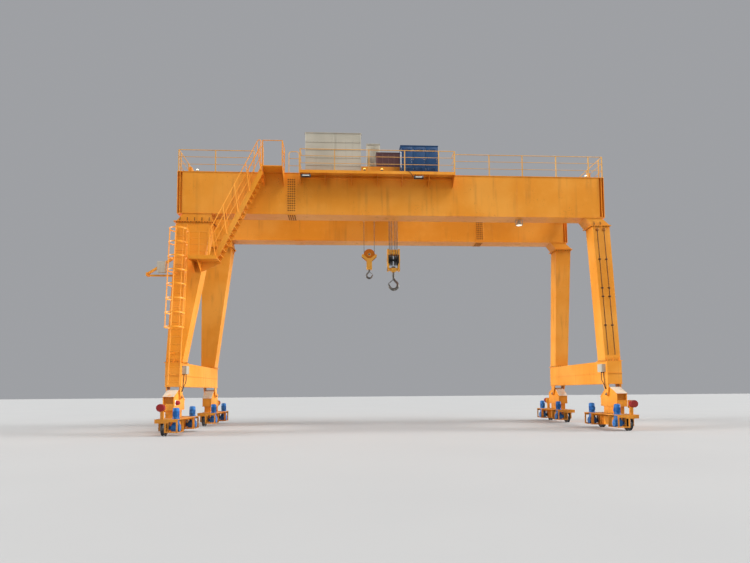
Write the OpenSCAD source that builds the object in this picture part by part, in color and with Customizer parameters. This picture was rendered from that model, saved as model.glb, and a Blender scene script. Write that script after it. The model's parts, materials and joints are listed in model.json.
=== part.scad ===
// Double-girder gantry crane on rail bogies, with a travelling hoist trolley.
// X runs along the span, -Y is the side with the stair, Z is up from the wheel flanges.

/* [Span and height] */
// Distance between the two rails that the bogies run on
rail_gauge = 18000; // [12000:100:26000]
// Distance between the two girders, centre to centre
girder_spacing = 3970; // [3600:10:5000]
// Height of the underside of the girders
girder_underside = 9120; // [7000:10:12000]
// Overall depth of a girder, flanges included
girder_depth = 1810; // [1200:10:2400]
// Width of a girder's flanges
girder_width = 800; // [600:10:1000]
// Length of a girder, end plates included
girder_length = 18350; // [14000:10:26000]

/* [Legs and sills] */
// Width of a rigid leg at the top, along the span
rigid_leg_top = 1450; // [900:10:2000]
// Width of a slim leg at the top, along the span
slim_leg_top = 750; // [500:10:1200]
// Width of any leg at the foot, along the span
leg_foot = 650; // [400:10:900]
// Depth of a leg across the span
leg_depth = 680; // [400:10:900]
// Height of the top of the sill beams
sill_top = 2820; // [2000:10:3600]
// Height of the underside of the sill beams
sill_bottom = 1860; // [1400:10:2400]
// Length of a sill beam
sill_length = 6240; // [5000:10:8000]
// Width of a sill beam
sill_width = 617; // [400:1:900]

/* [Bogies] */
// How far a sill beam reaches past a bogie's pin
pin_inset = 170; // [100:10:400]
// Distance between the two wheels of a bogie
wheel_base = 2200; // [1600:10:2600]
// Diameter of a travel wheel over its flanges
flange_dia = 600; // [400:10:800]
// Diameter of a travel wheel's tread
tread_dia = 540; // [360:10:740]

/* [Walkways] */
// Height of a handrail's top rail above the girder
rail_height = 950; // [900:10:1200]
// Width of the bracket walkway beside the girder
walk_width = 580; // [400:10:900]

/* [Trolley] */
// Where the trolley stands along the span at rest
trolley_x = -530; // [-6000:10:6000]
// Length of the trolley's frame along the span
trolley_length = 3100; // [2400:10:4000]
// Height of the main hook's lowest point at rest
main_hook_height = 6310; // [2000:10:8000]
// Height of the small hook's lowest point at rest
aux_hook_height = 6860; // [2000:10:8000]

/* [Hidden] */

orange = [0.91, 0.55, 0.15];
blue = [0.10, 0.32, 0.62];
steel = [0.35, 0.36, 0.38];
dark = [0.16, 0.16, 0.18];
beige = [0.72, 0.70, 0.60];
red = [0.55, 0.07, 0.07];

rail_x = rail_gauge / 2;
girder_y = girder_spacing / 2;
girder_top = girder_underside + girder_depth;
girder_end = girder_length / 2;
web_end = girder_end - 190;
flange_t = 20;
flange_lip = 25;
leg_lip = 55;
// the part's middle lies beside the gauge's middle, because the collector arm reaches out on the left
arm_reach = 1340;
right_reach = slim_leg_top / 2 + leg_lip;
centre_shift = (arm_reach - right_reach) / 2;

leg_top_z = girder_underside - 340;
leg_base_z = sill_top;
leg_top_y = girder_y + 60;
bogie_offset = sill_length / 2 - pin_inset;
leg_base_y = bogie_offset - 270;
leg_flange_t = 24;
leg_z0 = leg_base_z + leg_flange_t;
leg_z1 = leg_top_z - leg_flange_t;

rigid_foot = [-rail_x - leg_foot / 2, -rail_x + leg_foot / 2];
rigid_top = [-rail_x - 190, -rail_x - 190 + rigid_leg_top];
slim_foot = [rail_x - leg_foot / 2, rail_x + leg_foot / 2];
slim_top = [rail_x - slim_leg_top / 2, rail_x + slim_leg_top / 2];

wheel_r = flange_dia / 2;
tread_r = tread_dia / 2;
wheel_z = wheel_r;
axle_r = 45;
axle_half = 180;
bearing_face = 185;
pin_r = 50;
pin_z = 1450;
running = 0.5;
seat = 0.3;
bogie_half = wheel_base / 2 + 365;
plate_z = flange_dia + 40;

tube_r = 17;
mid_r = 12;
rungs = 300;

rail_y = 1690;
track_w = 60;
track_h = 100;
track_top = girder_top + track_h;
t_wheel_r = 190;
t_axle_z = track_top + t_wheel_r + 0.3;
t_half = trolley_length / 2;
frame_z = t_axle_z - 60;
frame_h = 330;
deck_z = frame_z + frame_h;

main_x = 105;
aux_x = -1030;
sheave_r = 250;
aux_sheave_r = 240;
rope_r = 12;
sheave_x = [-125, -25, 117, 221];
drum_r = 290;
main_drum_y = sheave_r + drum_r;
upper_y = -2 * sheave_r;
drum_z = deck_z + 260;
aux_drum_r = 200;
main_axle_z = main_hook_height + 1460;
cross_z = main_axle_z - 440;
aux_axle_z = aux_hook_height + 1155;
aux_cross_z = aux_axle_z - 650;

// A box between given lowest and highest values on each axis
module block(x, y, z) {
    translate([x[0], y[0], z[0]])
        cube([x[1] - x[0], y[1] - y[0], z[1] - z[0]]);
}

// A straight round bar from p to q
module bar(p, q, r) {
    v = q - p;
    l = norm(v);
    translate(p)
        rotate([0, acos(v[2] / l), atan2(v[1], v[0])])
            cylinder(r = r, h = l, $fn = 8);
}

// A rail bent through a row of points
module bend(points) {
    for (k = [0 : len(points) - 2])
        bar(points[k], points[k + 1], tube_r);
}

// A round bar along X, centred on p
module x_rod(p, r, l) {
    translate(p)
        rotate([0, 90, 0])
            cylinder(r = r, h = l, center = true, $fn = 40);
}

// A round bar along Y, centred on p
module y_rod(p, r, l) {
    translate(p)
        rotate([90, 0, 0])
            cylinder(r = r, h = l, center = true, $fn = 40);
}

// A flat plate whose outline is given in X and Z, between two values of Y
module xz_plate(points, y) {
    translate([0, y[1], 0])
        rotate([90, 0, 0])
            linear_extrude(y[1] - y[0])
                polygon(points);
}

// A flat plate whose outline is given in Y and Z, between two values of X
module yz_plate(points, x) {
    translate([x[0], 0, 0])
        rotate([90, 0, 90])
            linear_extrude(x[1] - x[0])
                polygon(points);
}

// Keeps a piece and adds its mirror image across the middle of the crane
module both_sides() {
    children();
    mirror([0, 1, 0])
        children();
}

// Places a corner's piece: local +x points away from the span, local +y to the nearest end
module corner(sx, sy) {
    translate([sx * rail_x, sy * bogie_offset, 0])
        mirror([sx < 0 ? 1 : 0, 0, 0])
            mirror([0, sy < 0 ? 1 : 0, 0])
                children();
}

// A railing along X: three rails between two ends and a post at each given place
module x_railing(x, y, z, h, posts, foot = 0) {
    for (k = [1 : 3])
        bar([x[0], y, z + h * k / 3 - (k == 3 ? tube_r : 0)],
            [x[1], y, z + h * k / 3 - (k == 3 ? tube_r : 0)], k == 3 ? tube_r : mid_r);
    for (p = posts)
        block([p - 20, p + 20], [y - 20, y + 20], [z - foot, z + h - tube_r]);
}

// The same along Y
module y_railing(y, x, z, h, posts) {
    for (k = [1 : 3])
        bar([x, y[0], z + h * k / 3 - (k == 3 ? tube_r : 0)],
            [x, y[1], z + h * k / 3 - (k == 3 ? tube_r : 0)], k == 3 ? tube_r : mid_r);
    for (p = posts)
        block([x - 20, x + 20], [p - 20, p + 20], [z, z + h - tube_r]);
}

// One box girder on the -Y side: flanges, webs, end plates, saddles for the legs and the bolted splice
module girder() {
    y0 = -girder_y - girder_width / 2;
    y1 = -girder_y + girder_width / 2;
    block([-web_end, web_end], [y0 + flange_lip, y1 - flange_lip],
        [girder_underside + flange_t, girder_top - flange_t]);
    block([-girder_end, girder_end], [y0, y1], [girder_top - flange_t, girder_top]);
    block([-girder_end, girder_end], [y0, y1], [girder_underside, girder_underside + flange_t]);
    for (s = [-1, 1]) {
        block([s * girder_end - 12, s * girder_end + 12], [y0, y1], [girder_underside, girder_top]);
        block([s * (web_end + 90) - 10, s * (web_end + 90) + 10], [y0, y1],
            [girder_underside, girder_top]);
        block([min(s * web_end, s * girder_end), max(s * web_end, s * girder_end)],
            [y0 + 120, y1 - 120], [girder_underside, girder_top]);
    }
    // bolted field splice on both webs and under the flange
    block([-4640, -4200], [y0 + flange_lip - 14, y1 - flange_lip + 14],
        [girder_underside + 60, girder_top - 60]);
    block([-4640, -4200], [y0 + 20, y1 - 20], [girder_underside - 14, girder_underside]);
    // saddles over the leg heads
    xz_plate([[rigid_top[0] + 265, girder_underside], [rigid_top[1] - 20, girder_underside],
        [rigid_top[1] + 20, leg_top_z + leg_flange_t], [rigid_top[0] - 10, leg_top_z + leg_flange_t]],
        [y0 + flange_lip, y1 - flange_lip]);
    xz_plate([[slim_top[0] - 295, girder_underside], [slim_top[1] - 330, girder_underside],
        [slim_top[1] + 25, leg_top_z + leg_flange_t], [slim_top[0] - 45, leg_top_z + leg_flange_t]],
        [y0 + flange_lip, y1 - flange_lip]);
    // head flanges of the saddles
    block(rigid_top + [-leg_lip - 45, leg_lip + 20], [y0 - 20, y1 + 20],
        [leg_top_z, leg_top_z + leg_flange_t]);
    block(slim_top + [-leg_lip - 30, leg_lip], [y0 - 20, y1 + 20],
        [leg_top_z, leg_top_z + leg_flange_t]);
}

module front_girder() {
    color(orange)
        girder();
}

module rear_girder() {
    color(orange)
        mirror([0, 1, 0])
            girder();
}

// The cross beams between the girders' ends, with the plate that one walks on above each
module girder_end_beams() {
    y1 = girder_y - girder_width / 2 + flange_lip;
    y2 = girder_y - girder_width / 2;
    color(orange)
        for (s = [-1, 1]) {
            block([s * (web_end - 220) - 180, s * (web_end - 220) + 180], [-y1, y1],
                [girder_top - 780, girder_top - 30]);
            block([s * (girder_end - 280) - 280, s * (girder_end - 280) + 280], [-y2, y2],
                [girder_top - 30, girder_top]);
        }
}

module trolley_rails() {
    color(steel)
        both_sides()
            union() {
                block([-web_end + 60, web_end - 60], [-rail_y - 55, -rail_y + 55],
                    [girder_top, girder_top + 20]);
                block([-web_end + 60, web_end - 60], [-rail_y - 12, -rail_y + 12],
                    [girder_top, track_top - 30]);
                block([-web_end + 60, web_end - 60], [-rail_y - track_w / 2, -rail_y + track_w / 2],
                    [track_top - 35, track_top]);
                for (s = [-1, 1])
                    block([s * (web_end - 160) - 60, s * (web_end - 160) + 60],
                        [-rail_y - 90, -rail_y + 90], [girder_top, track_top + 330]);
            }
}

// A box leg on the -Y side that leans out to the sill, with its end flanges and gussets
module leg(foot_x, top_x) {
    y_top = -leg_top_y;
    y_foot = -leg_base_y;
    h = leg_z1;
    hull() {
        block(foot_x, [y_foot - leg_depth / 2, y_foot + leg_depth / 2], [leg_base_z, leg_z0]);
        block(top_x, [y_top - leg_depth / 2, y_top + leg_depth / 2], [h - 1, h]);
    }
    block([foot_x[0] - leg_lip, foot_x[1] + leg_lip],
        [y_foot - leg_depth / 2 - leg_lip, y_foot + leg_depth / 2 + leg_lip],
        [leg_base_z, leg_base_z + leg_flange_t]);
    block([top_x[0] - leg_lip - 60, top_x[1] + leg_lip],
        [y_top - leg_depth / 2 - leg_lip, y_top + leg_depth / 2 + leg_lip], [h, leg_top_z]);
    // gussets round the foot and the head
    for (x = [foot_x[0] + 60, (foot_x[0] + foot_x[1]) / 2, foot_x[1] - 60])
        yz_plate([[y_foot - leg_depth / 2 - leg_lip, leg_base_z + 10],
            [y_foot + leg_depth / 2 + leg_lip, leg_base_z + 10],
            [y_foot + leg_depth / 2 - 10, leg_base_z + 190],
            [y_foot - leg_depth / 2 + 10, leg_base_z + 190]], [x - 6, x + 6]);
    for (x = [top_x[0] + 80, (top_x[0] + top_x[1]) / 2, top_x[1] - 80])
        yz_plate([[y_top - leg_depth / 2 - leg_lip, h + 5],
            [y_top + leg_depth / 2 + leg_lip, h + 5],
            [y_top + leg_depth / 2 - 30, h - 180],
            [y_top - leg_depth / 2 - 10, h - 180]], [x - 6, x + 6]);
    for (y = [y_top - 200, y_top + 200])
        xz_plate([[top_x[0] - leg_lip, h + 5], [top_x[1] + leg_lip, h + 5],
            [top_x[1] - 10, h - 200], [top_x[0] + 10, h - 200]], [y - 6, y + 6]);
}

module front_left_leg() {
    color(orange)
        leg(rigid_foot, rigid_top);
}

module rear_left_leg() {
    color(orange)
        mirror([0, 1, 0])
            leg(rigid_foot, rigid_top);
}

module front_right_leg() {
    color(orange)
        leg(slim_foot, slim_top);
}

module rear_right_leg() {
    color(orange)
        mirror([0, 1, 0])
            leg(slim_foot, slim_top);
}

// A sill beam: a box with a stiffener all round and a wider lower flange
module sill(sx) {
    w = sill_width / 2;
    l = sill_length / 2;
    translate([sx * rail_x, 0, 0]) {
        block([-w, w], [-l, l], [sill_bottom, sill_top]);
        block([-w - 22, w + 22], [-l - 22, l + 22], [sill_bottom + 445, sill_bottom + 461]);
        block([-w - 20, w + 20], [-l - 10, l + 10], [sill_bottom, sill_bottom + 20]);
    }
}

module left_sill_beam() {
    color(orange)
        sill(-1);
}

module right_sill_beam() {
    color(orange)
        sill(1);
}

// The two V-shaped lugs under a sill's end, with the pin that carries the bogie
module bogie_bracket() {
    for (s = [-1, 1])
        hull() {
            block([s * 260 - 20, s * 260 + 20], [-290, 290 - 130], [sill_bottom - 30, sill_bottom]);
            x_rod([s * 260, 0, pin_z], 95, 40);
        }
    x_rod([0, 0, pin_z], pin_r, 610);
    for (s = [-1, 1])
        x_rod([s * 295, 0, pin_z], 72, 24);
}

module bogie_brackets() {
    color(orange)
        for (sx = [-1, 1], sy = [-1, 1])
            corner(sx, sy)
                bogie_bracket();
}

// A bogie: the pitched box on the pin, the neck, and the long frame that holds two wheels
module bogie() {
    difference() {
        union() {
            for (s = [-1, 1])
                yz_plate([[-690, 950], [690, 950], [690, 1470], [150, 1740], [-150, 1740],
                    [-690, 1330]], [s * 200 - 12, s * 200 + 12]);
            yz_plate([[690, 1450], [150, 1720], [150, 1740], [716, 1470]], [-225, 225]);
            yz_plate([[-690, 1310], [-150, 1720], [-150, 1740], [-716, 1330]], [-225, 225]);
            block([-200, 200], [660, 684], [950, 1200]);
            block([-200, 200], [560, 576], [950, 1530]);
            block([-200, 200], [-684, -660], [950, 1330]);
            block([-225, 225], [-690, 690], [935, 955]);
            x_rod([0, 0, pin_z], 110, 460);
            block([-150, 150], [-560, 560], [plate_z, 945]);
            bogie_frame();
        }
        x_rod([0, 0, pin_z], pin_r + running, 600);
        for (s = [-1, 1])
            x_rod([0, s * wheel_base / 2, wheel_z], axle_r + running, 600);
    }
    // bumper post and red bumper
    block([-60, 60], [bogie_half - 150, bogie_half - 50], [plate_z, 960]);
    block([-110, 110], [bogie_half - 150, bogie_half - 126], [900, 1210]);
    translate([0, bogie_half - 130, 1070])
        rotate([-90, 0, 0]) {
            cylinder(r = 60, h = 200, $fn = 32);
            cylinder(r = 110, h = 100, $fn = 32);
            translate([0, 0, 100])
                cylinder(r = 140, h = bumper_out - 30, $fn = 32);
        }
}

bumper_out = 235;

// The frame round the wheels: top plate, side plates, bearing blocks, foot plate and posts
module bogie_frame() {
    block([-620, 260], [-bogie_half, bogie_half], [plate_z - 22, plate_z]);
    for (s = [-1, 1])
        block([s * 110 - 15, s * 110 + 15], [-wheel_base / 2 - 60, wheel_base / 2 + 60],
            [150, plate_z - 5]);
    block([-120, 120], [-wheel_base / 2 + wheel_r + 40, wheel_base / 2 - wheel_r - 40],
        [150, 172]);
    for (e = [-1, 1], s = [-1, 1])
        block([s * (bearing_face - 35) - 35, s * (bearing_face - 35) + 35],
            [e * wheel_base / 2 - 110, e * wheel_base / 2 + 110], [wheel_z - 110, plate_z - 5]);
    // end fenders over the wheels
    for (e = [-1, 1])
        block([-250, 250], [e * (bogie_half - 12) - 12, e * (bogie_half - 12) + 12],
            [plate_z - 150, plate_z]);
    // open frames that hang round the travel drives, each of two hoops on two foot bars
    for (e = [-1, 1]) {
        near = wheel_base / 2 - guard_reach;
        for (x = [-600, -170])
            block([x, x + 60], [min(e * near, e * bogie_half), max(e * near, e * bogie_half)], [140, 156]);
        for (y = [near + 8, near + 150, bogie_half - 8])
            guard_hoop(e * y);
    }
    block([-600, -110], [-8, 8], [plate_z - 100, plate_z - 5]);
}

guard_reach = 420;

// A hoop of flat bar across the drives' side of a bogie, down from the top plate
module guard_hoop(y) {
    translate([0, y, 0])
        difference() {
            block([-600, -110], [-8, 8], [140, plate_z - 5]);
            block([-540, -170], [-20, 20], [190, plate_z - 110]);
        }
}

module front_left_bogie() {
    color(orange)
        corner(-1, -1)
            bogie();
}

module rear_left_bogie() {
    color(orange)
        corner(-1, 1)
            bogie();
}

module front_right_bogie() {
    color(orange)
        corner(1, -1)
            bogie();
}

module rear_right_bogie() {
    color(orange)
        corner(1, 1)
            bogie();
}

// A travel wheel with two flanges on its axle, turned in one piece; e is 1 for the outer wheel
module travel_wheel(e) {
    translate([0, e * wheel_base / 2, wheel_z])
        rotate([0, 90, 0])
            rotate_extrude($fn = 60)
                polygon([[0, -axle_half], [axle_r, -axle_half], [axle_r, -70], [90, -70], [90, -55],
                    [190, -40], [230, -62], [wheel_r, -58], [wheel_r - 8, -42], [tread_r, -36],
                    [tread_r, 36], [wheel_r - 8, 42], [wheel_r, 58], [230, 62], [190, 40],
                    [90, 55], [90, 70], [axle_r, 70], [axle_r, axle_half], [0, axle_half]]);
}

module front_left_outer_wheel() {
    color(dark)
        corner(-1, -1)
            travel_wheel(1);
}

module front_left_inner_wheel() {
    color(dark)
        corner(-1, -1)
            travel_wheel(-1);
}

module rear_left_outer_wheel() {
    color(dark)
        corner(-1, 1)
            travel_wheel(1);
}

module rear_left_inner_wheel() {
    color(dark)
        corner(-1, 1)
            travel_wheel(-1);
}

module front_right_outer_wheel() {
    color(dark)
        corner(1, -1)
            travel_wheel(1);
}

module front_right_inner_wheel() {
    color(dark)
        corner(1, -1)
            travel_wheel(-1);
}

module rear_right_outer_wheel() {
    color(dark)
        corner(1, 1)
            travel_wheel(1);
}

module rear_right_inner_wheel() {
    color(dark)
        corner(1, 1)
            travel_wheel(-1);
}

motor_r = 112;

// The two vertical travel motors of a bogie with their gear cases below the top plate
module bogie_drives() {
    for (e = [-1, 1])
        translate([-430, e * wheel_base / 2, 0]) {
            translate([0, 0, plate_z])
                cylinder(r = 140, h = 24, $fn = 32);
            translate([0, 0, plate_z + 24])
                cylinder(r = motor_r, h = 320, $fn = 32);
            translate([0, 0, plate_z + 344])
                cylinder(r1 = motor_r, r2 = motor_r - 25, h = 50, $fn = 32);
            translate([0, 0, 440])
                cylinder(r = 125, h = plate_z - 22 - 440, $fn = 32);
            translate([0, 0, 440])
                cylinder(r = 145, h = 24, $fn = 32);
            hull() {
                x_rod([0, 0, wheel_z], 138, 300);
                block([-120, 120], [-100, 100], [430, 440]);
            }
            x_rod([195, 0, wheel_z], 70, 2 * (430 - bearing_face - 195));
        }
}

module front_left_drives() {
    color(blue)
        corner(-1, -1)
            bogie_drives();
}

module rear_left_drives() {
    color(blue)
        corner(-1, 1)
            bogie_drives();
}

module front_right_drives() {
    color(blue)
        corner(1, -1)
            bogie_drives();
}

module rear_right_drives() {
    color(blue)
        corner(1, 1)
            bogie_drives();
}

walk_top = girder_top - 115;
walk_bottom = girder_top - 230;
girder_front = -girder_y - girder_width / 2;
walk_front = girder_front - walk_width;
walk_x = [-4040, 2490];

// The walkway that hangs on brackets from the front girder
module bracket_walkway() {
    color(orange) {
        block(walk_x, [walk_front, girder_front + flange_lip], [walk_top - 6, walk_top]);
        block(walk_x, [walk_front - 8, walk_front], [walk_bottom, walk_top + 10]);
        block(walk_x, [girder_front + flange_lip - 8, girder_front + flange_lip],
            [walk_bottom, walk_top]);
        for (x = [-4030, -3000, -1880, -770, 285, 1410, 2476])
            yz_plate([[walk_front, walk_bottom + 20], [walk_front, walk_top - 3],
                [girder_front + flange_lip, walk_top - 3],
                [girder_front + flange_lip, walk_bottom - 340], [girder_front, walk_bottom - 340]],
                [x - 6, x + 6]);
        block(walk_x, [girder_front - 60, girder_front + flange_lip], [walk_bottom, walk_bottom + 8]);
    }
}

module walkway_railing() {
    y = walk_front + 24;
    color(orange) {
        x_railing(walk_x + [20, -20], y, walk_top, girder_top + 810 - walk_top,
            [walk_x[0] + 20, -2590, -1154, 350, 1787, walk_x[1] - 20]);
        for (x = walk_x + [20, -20])
            y_railing([y, girder_front + 60], x, walk_top, girder_top + 810 - walk_top, []);
    }
}

edge_y = girder_front + 45;

// A frame of one bent pipe with two rails across it
module bent_gate(x) {
    z = girder_top + rail_height - tube_r;
    half = [for (a = [0 : 22.5 : 90]) [120 * (1 - sin(a)), 120 * (1 - cos(a))]];
    bend(concat([[x[0], edge_y, girder_top]],
        [for (k = [0 : 4]) [x[0] + half[4 - k][0], edge_y, z - half[4 - k][1]]],
        [for (k = [0 : 4]) [x[1] - half[k][0], edge_y, z - half[k][1]]],
        [[x[1], edge_y, girder_top]]));
    for (k = [1, 2])
        bar([x[0], edge_y, girder_top + rail_height * k / 3],
            [x[1], edge_y, girder_top + rail_height * k / 3], mid_r);
}

// The railings along both girders; the front one is open for the landing and the walkway
module girder_railings() {
    color(orange) {
        x_railing([-girder_end + 30, -5980], edge_y, girder_top, rail_height,
            [-girder_end + 30, -7620, -6010]);
        bent_gate([-4540, -4110]);
        x_railing([2560, girder_end - 30], edge_y, girder_top, rail_height,
            [2580, 4110, 5575, 7076, 8534, girder_end - 30]);
        x_railing([-girder_end + 30, girder_end - 30], -edge_y, girder_top, rail_height,
            [for (k = [0 : 12]) -girder_end + 30 + k * (girder_length - 60) / 12]);
    }
}

module end_railings() {
    color(orange)
        for (s = [-1, 1])
            y_railing([edge_y + 20, -edge_y - 20], s * (girder_end - 30), girder_top, rail_height,
                [edge_y + 300, -900, 0, 900, -edge_y - 300]);
}

house_x = [-3840, -1470];
house_top = girder_top + 1770;
house_y = [girder_front - 10, girder_front + 430];

// The ribbed house for the electrical gear, on the girder behind the walkway
module equipment_house() {
    color(beige) {
        block(house_x, house_y, [girder_top, house_top - 20]);
        block(house_x + [-20, 20], house_y + [-20, 10], [house_top - 20, house_top]);
        for (k = [1 : 4])
            block(house_x, [house_y[0] - 12, house_y[0]],
                [girder_top + k * 340 - 20, girder_top + k * 340 + 20]);
    }
}

cabinet_top = girder_top + 1260;

module control_cabinet() {
    color(blue) {
        block([240, 1860], [girder_front, girder_front + 420], [girder_top + 60, cabinet_top]);
        block([225, 1875], [girder_front - 15, girder_front + 430],
            [cabinet_top, cabinet_top + 25]);
        for (x = [300, 1740])
            block([x, x + 60], [girder_front + 20, girder_front + 400],
                [girder_top, girder_top + 60]);
        for (x = [780, 1320])
            block([x - 4, x + 4], [girder_front - 8, girder_front],
                [girder_top + 90, cabinet_top - 30]);
    }
}

// The front face of a front leg at height z, and the ladder's line before it
function leg_share(z) = (z - leg_z0) / (leg_z1 - leg_z0);
function leg_front(z) = -leg_base_y - leg_depth / 2 - seat + (leg_base_y - leg_top_y) * leg_share(z);
function leg_outer(z) = rigid_foot[0] - seat + (rigid_top[0] - rigid_foot[0]) * leg_share(z);
ladder_x = -8900;
ladder_w = 450;
ladder_gap = 220;
ladder_z = [sill_bottom + 70, girder_underside - 560];
function ladder_y(z) = leg_front(z) - ladder_gap;

cage_r = 380;
cage_z = [for (k = [0 : 7]) ladder_z[1] - 4360 + k * 578];

// The ladder up the front left leg, its hoops and the flat bars that join them
module caged_ladder() {
    color(orange) {
        for (s = [-1, 1]) {
            bar([ladder_x + s * ladder_w / 2, ladder_y(ladder_z[0]), ladder_z[0]],
                [ladder_x + s * ladder_w / 2, ladder_y(ladder_z[1]), ladder_z[1]], 24);
            for (z = [sill_top + 380, sill_top + 2080, sill_top + 3680]) {
                bar([ladder_x + s * ladder_w / 2, ladder_y(z), z],
                    [ladder_x + s * (ladder_w / 2 - 80), leg_front(z) - 8, z], 14);
                yz_plate([[leg_front(z - 50), z - 50], [leg_front(z + 50), z + 50],
                    [leg_front(z + 50) - 14, z + 50], [leg_front(z - 50) - 14, z - 50]],
                    [ladder_x + s * (ladder_w / 2 - 80) - 35, ladder_x + s * (ladder_w / 2 - 80) + 35]);
            }
        }
        bar([ladder_x - ladder_w / 2, ladder_y(ladder_z[1]), ladder_z[1]],
            [ladder_x + ladder_w / 2, ladder_y(ladder_z[1]), ladder_z[1]], 24);
        for (z = [ladder_z[0] + 120 : rungs : ladder_z[1] - 260])
            bar([ladder_x - ladder_w / 2, ladder_y(z), z],
                [ladder_x + ladder_w / 2, ladder_y(z), z], 12);
        for (z = cage_z)
            translate([ladder_x, ladder_y(z) - 306, z - 25])
                difference() {
                    cylinder(r = cage_r, h = 50, $fn = 48);
                    translate([0, 0, -5])
                        cylinder(r = cage_r - 10, h = 60, $fn = 48);
                    block([-ladder_w / 2 + 8, ladder_w / 2 - 8], [200, 500], [-5, 55]);
                }
        for (a = [-180, -135, -90, -45, 0]) {
            x = ladder_x + (cage_r - 5) * cos(a);
            dy = -306 + (cage_r - 5) * sin(a);
            bar([x, ladder_y(cage_z[0]) + dy, cage_z[0] - 20],
                [x, ladder_y(cage_z[7]) + dy, cage_z[7] + 20], 12);
        }
    }
}

plat_x = [-8430, -7300];
plat_top = girder_top - 3910;
plat_y = [leg_front(plat_top - 30) - 755, leg_front(plat_top - 30)];
plat_rail = plat_top + 1040;

// The small platform on the front left leg, with its railing and brackets
module leg_platform() {
    color(orange) {
        block(plat_x, plat_y, [plat_top - 30, plat_top]);
        block([-7985, plat_x[1]], [plat_y[1] - 10, plat_y[1] + 125], [plat_top - 30, plat_top]);
        block(plat_x, [plat_y[0], plat_y[0] + 10], [plat_top - 60, plat_top + 90]);
        block([plat_x[0], plat_x[0] + 10], [plat_y[0], leg_front(plat_top - 60)],
            [plat_top - 60, plat_top + 90]);
        for (x = [-8330, -8100])
            yz_plate([[plat_y[0] + 60, plat_top - 60], [plat_y[0] + 60, plat_top - 10],
                [leg_front(plat_top - 10), plat_top - 10],
                [leg_front(plat_top - 460), plat_top - 460]],
                [x - 6, x + 6]);
        xz_plate([[-8106, plat_top - 15], [-8106, plat_top - 420], [-8000, plat_top - 420],
            [plat_x[1] + 40, plat_top - 80], [plat_x[1] + 40, plat_top - 15]],
            [leg_front(plat_top - 420) - 14, leg_front(plat_top - 420) - 2]);
        for (k = [1 : 4])
            bar([plat_x[0] + 20, plat_y[0] + 20, plat_top + k * 260],
                [-7620, plat_y[0] + 20, plat_top + k * 260], k == 4 ? tube_r : mid_r);
        for (x = [plat_x[0] + 20, -8020, -7620])
            block([x - 18, x + 18], [plat_y[0] + 2, plat_y[0] + 38], [plat_top - 10, plat_rail]);
    }
}

stair_foot = [-7540, plat_top];
stair_head = [-5580, girder_top - 40];
stair_y = [-3090, -2500];
treads = 16;

module stair() {
    dx = stair_head[0] - stair_foot[0];
    dz = stair_head[1] - stair_foot[1];
    color(orange) {
        for (y = [stair_y[0], stair_y[1] - 12])
            xz_plate([stair_foot, [stair_foot[0] + 220, stair_foot[1]],
                [stair_head[0] + 20, stair_head[1] - 350], [stair_head[0] + 20, stair_head[1] + 34],
                stair_head], [y, y + 12]);
        for (k = [1 : treads])
            block([stair_foot[0] + dx * k / (treads + 1) - 10,
                min(stair_foot[0] + dx * k / (treads + 1) + 190, stair_head[0] + 10)],
                [stair_y[0] + 6, stair_y[1] - 6],
                [stair_foot[1] + dz * k / (treads + 1) - 25, stair_foot[1] + dz * k / (treads + 1)]);
    }
}

module stair_handrails() {
    dx = stair_head[0] - stair_foot[0];
    dz = stair_head[1] - stair_foot[1];
    lean = -140;
    color(orange)
        for (y = [stair_y[0] - 20, stair_y[1] + 20]) {
            for (h = [370, 740, 1100])
                bar([stair_foot[0] + lean * h / 1100 + 60, y, stair_foot[1] + h + 120],
                    [stair_head[0] + lean * h / 1100 - 20, y, stair_head[1] + h - 38],
                    h == 1100 ? tube_r : mid_r);
            for (k = [0.02, 0.25, 0.48, 0.71, 0.94])
                bar([stair_foot[0] + dx * k + 90, y, stair_foot[1] + dz * k + 60],
                    [stair_foot[0] + dx * k + lean + 60, y, stair_foot[1] + dz * k + 1230], mid_r + 4);
            for (k = [0.02, 0.25, 0.48, 0.71, 0.94])
                block([stair_foot[0] + dx * k + 60, stair_foot[0] + dx * k + 110],
                    y < stair_y[0] ? [y, stair_y[0]] : [stair_y[1], y],
                    [stair_foot[1] + dz * k + 50, stair_foot[1] + dz * k + 110]);
            // the top rail turns down to the landing at its head and back to the next rail at its foot
            bend([for (q = [[-160, 1062], [-120, 1096], [-75, 1100], [-42, 1070], [-28, 1000], [-28, -60]])
                [stair_head[0] + q[0], y, stair_head[1] + q[1]]]);
            block([stair_head[0] - 50, stair_head[0] - 6],
                y < stair_y[0] ? [y, stair_y[0]] : [stair_y[1], y],
                [stair_head[1] - 70, stair_head[1] - 10]);
            bend([for (q = [[-80, 1220], [-120, 1145], [-132, 1060], [-118, 970], [-85, 900], [-34, 860]])
                [stair_foot[0] + q[0], y, stair_foot[1] + q[1]]]);
        }
}

land_x = [-5560, -4720];
land_y = [-3100, girder_front];
land_rail = girder_top + 1060;

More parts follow.
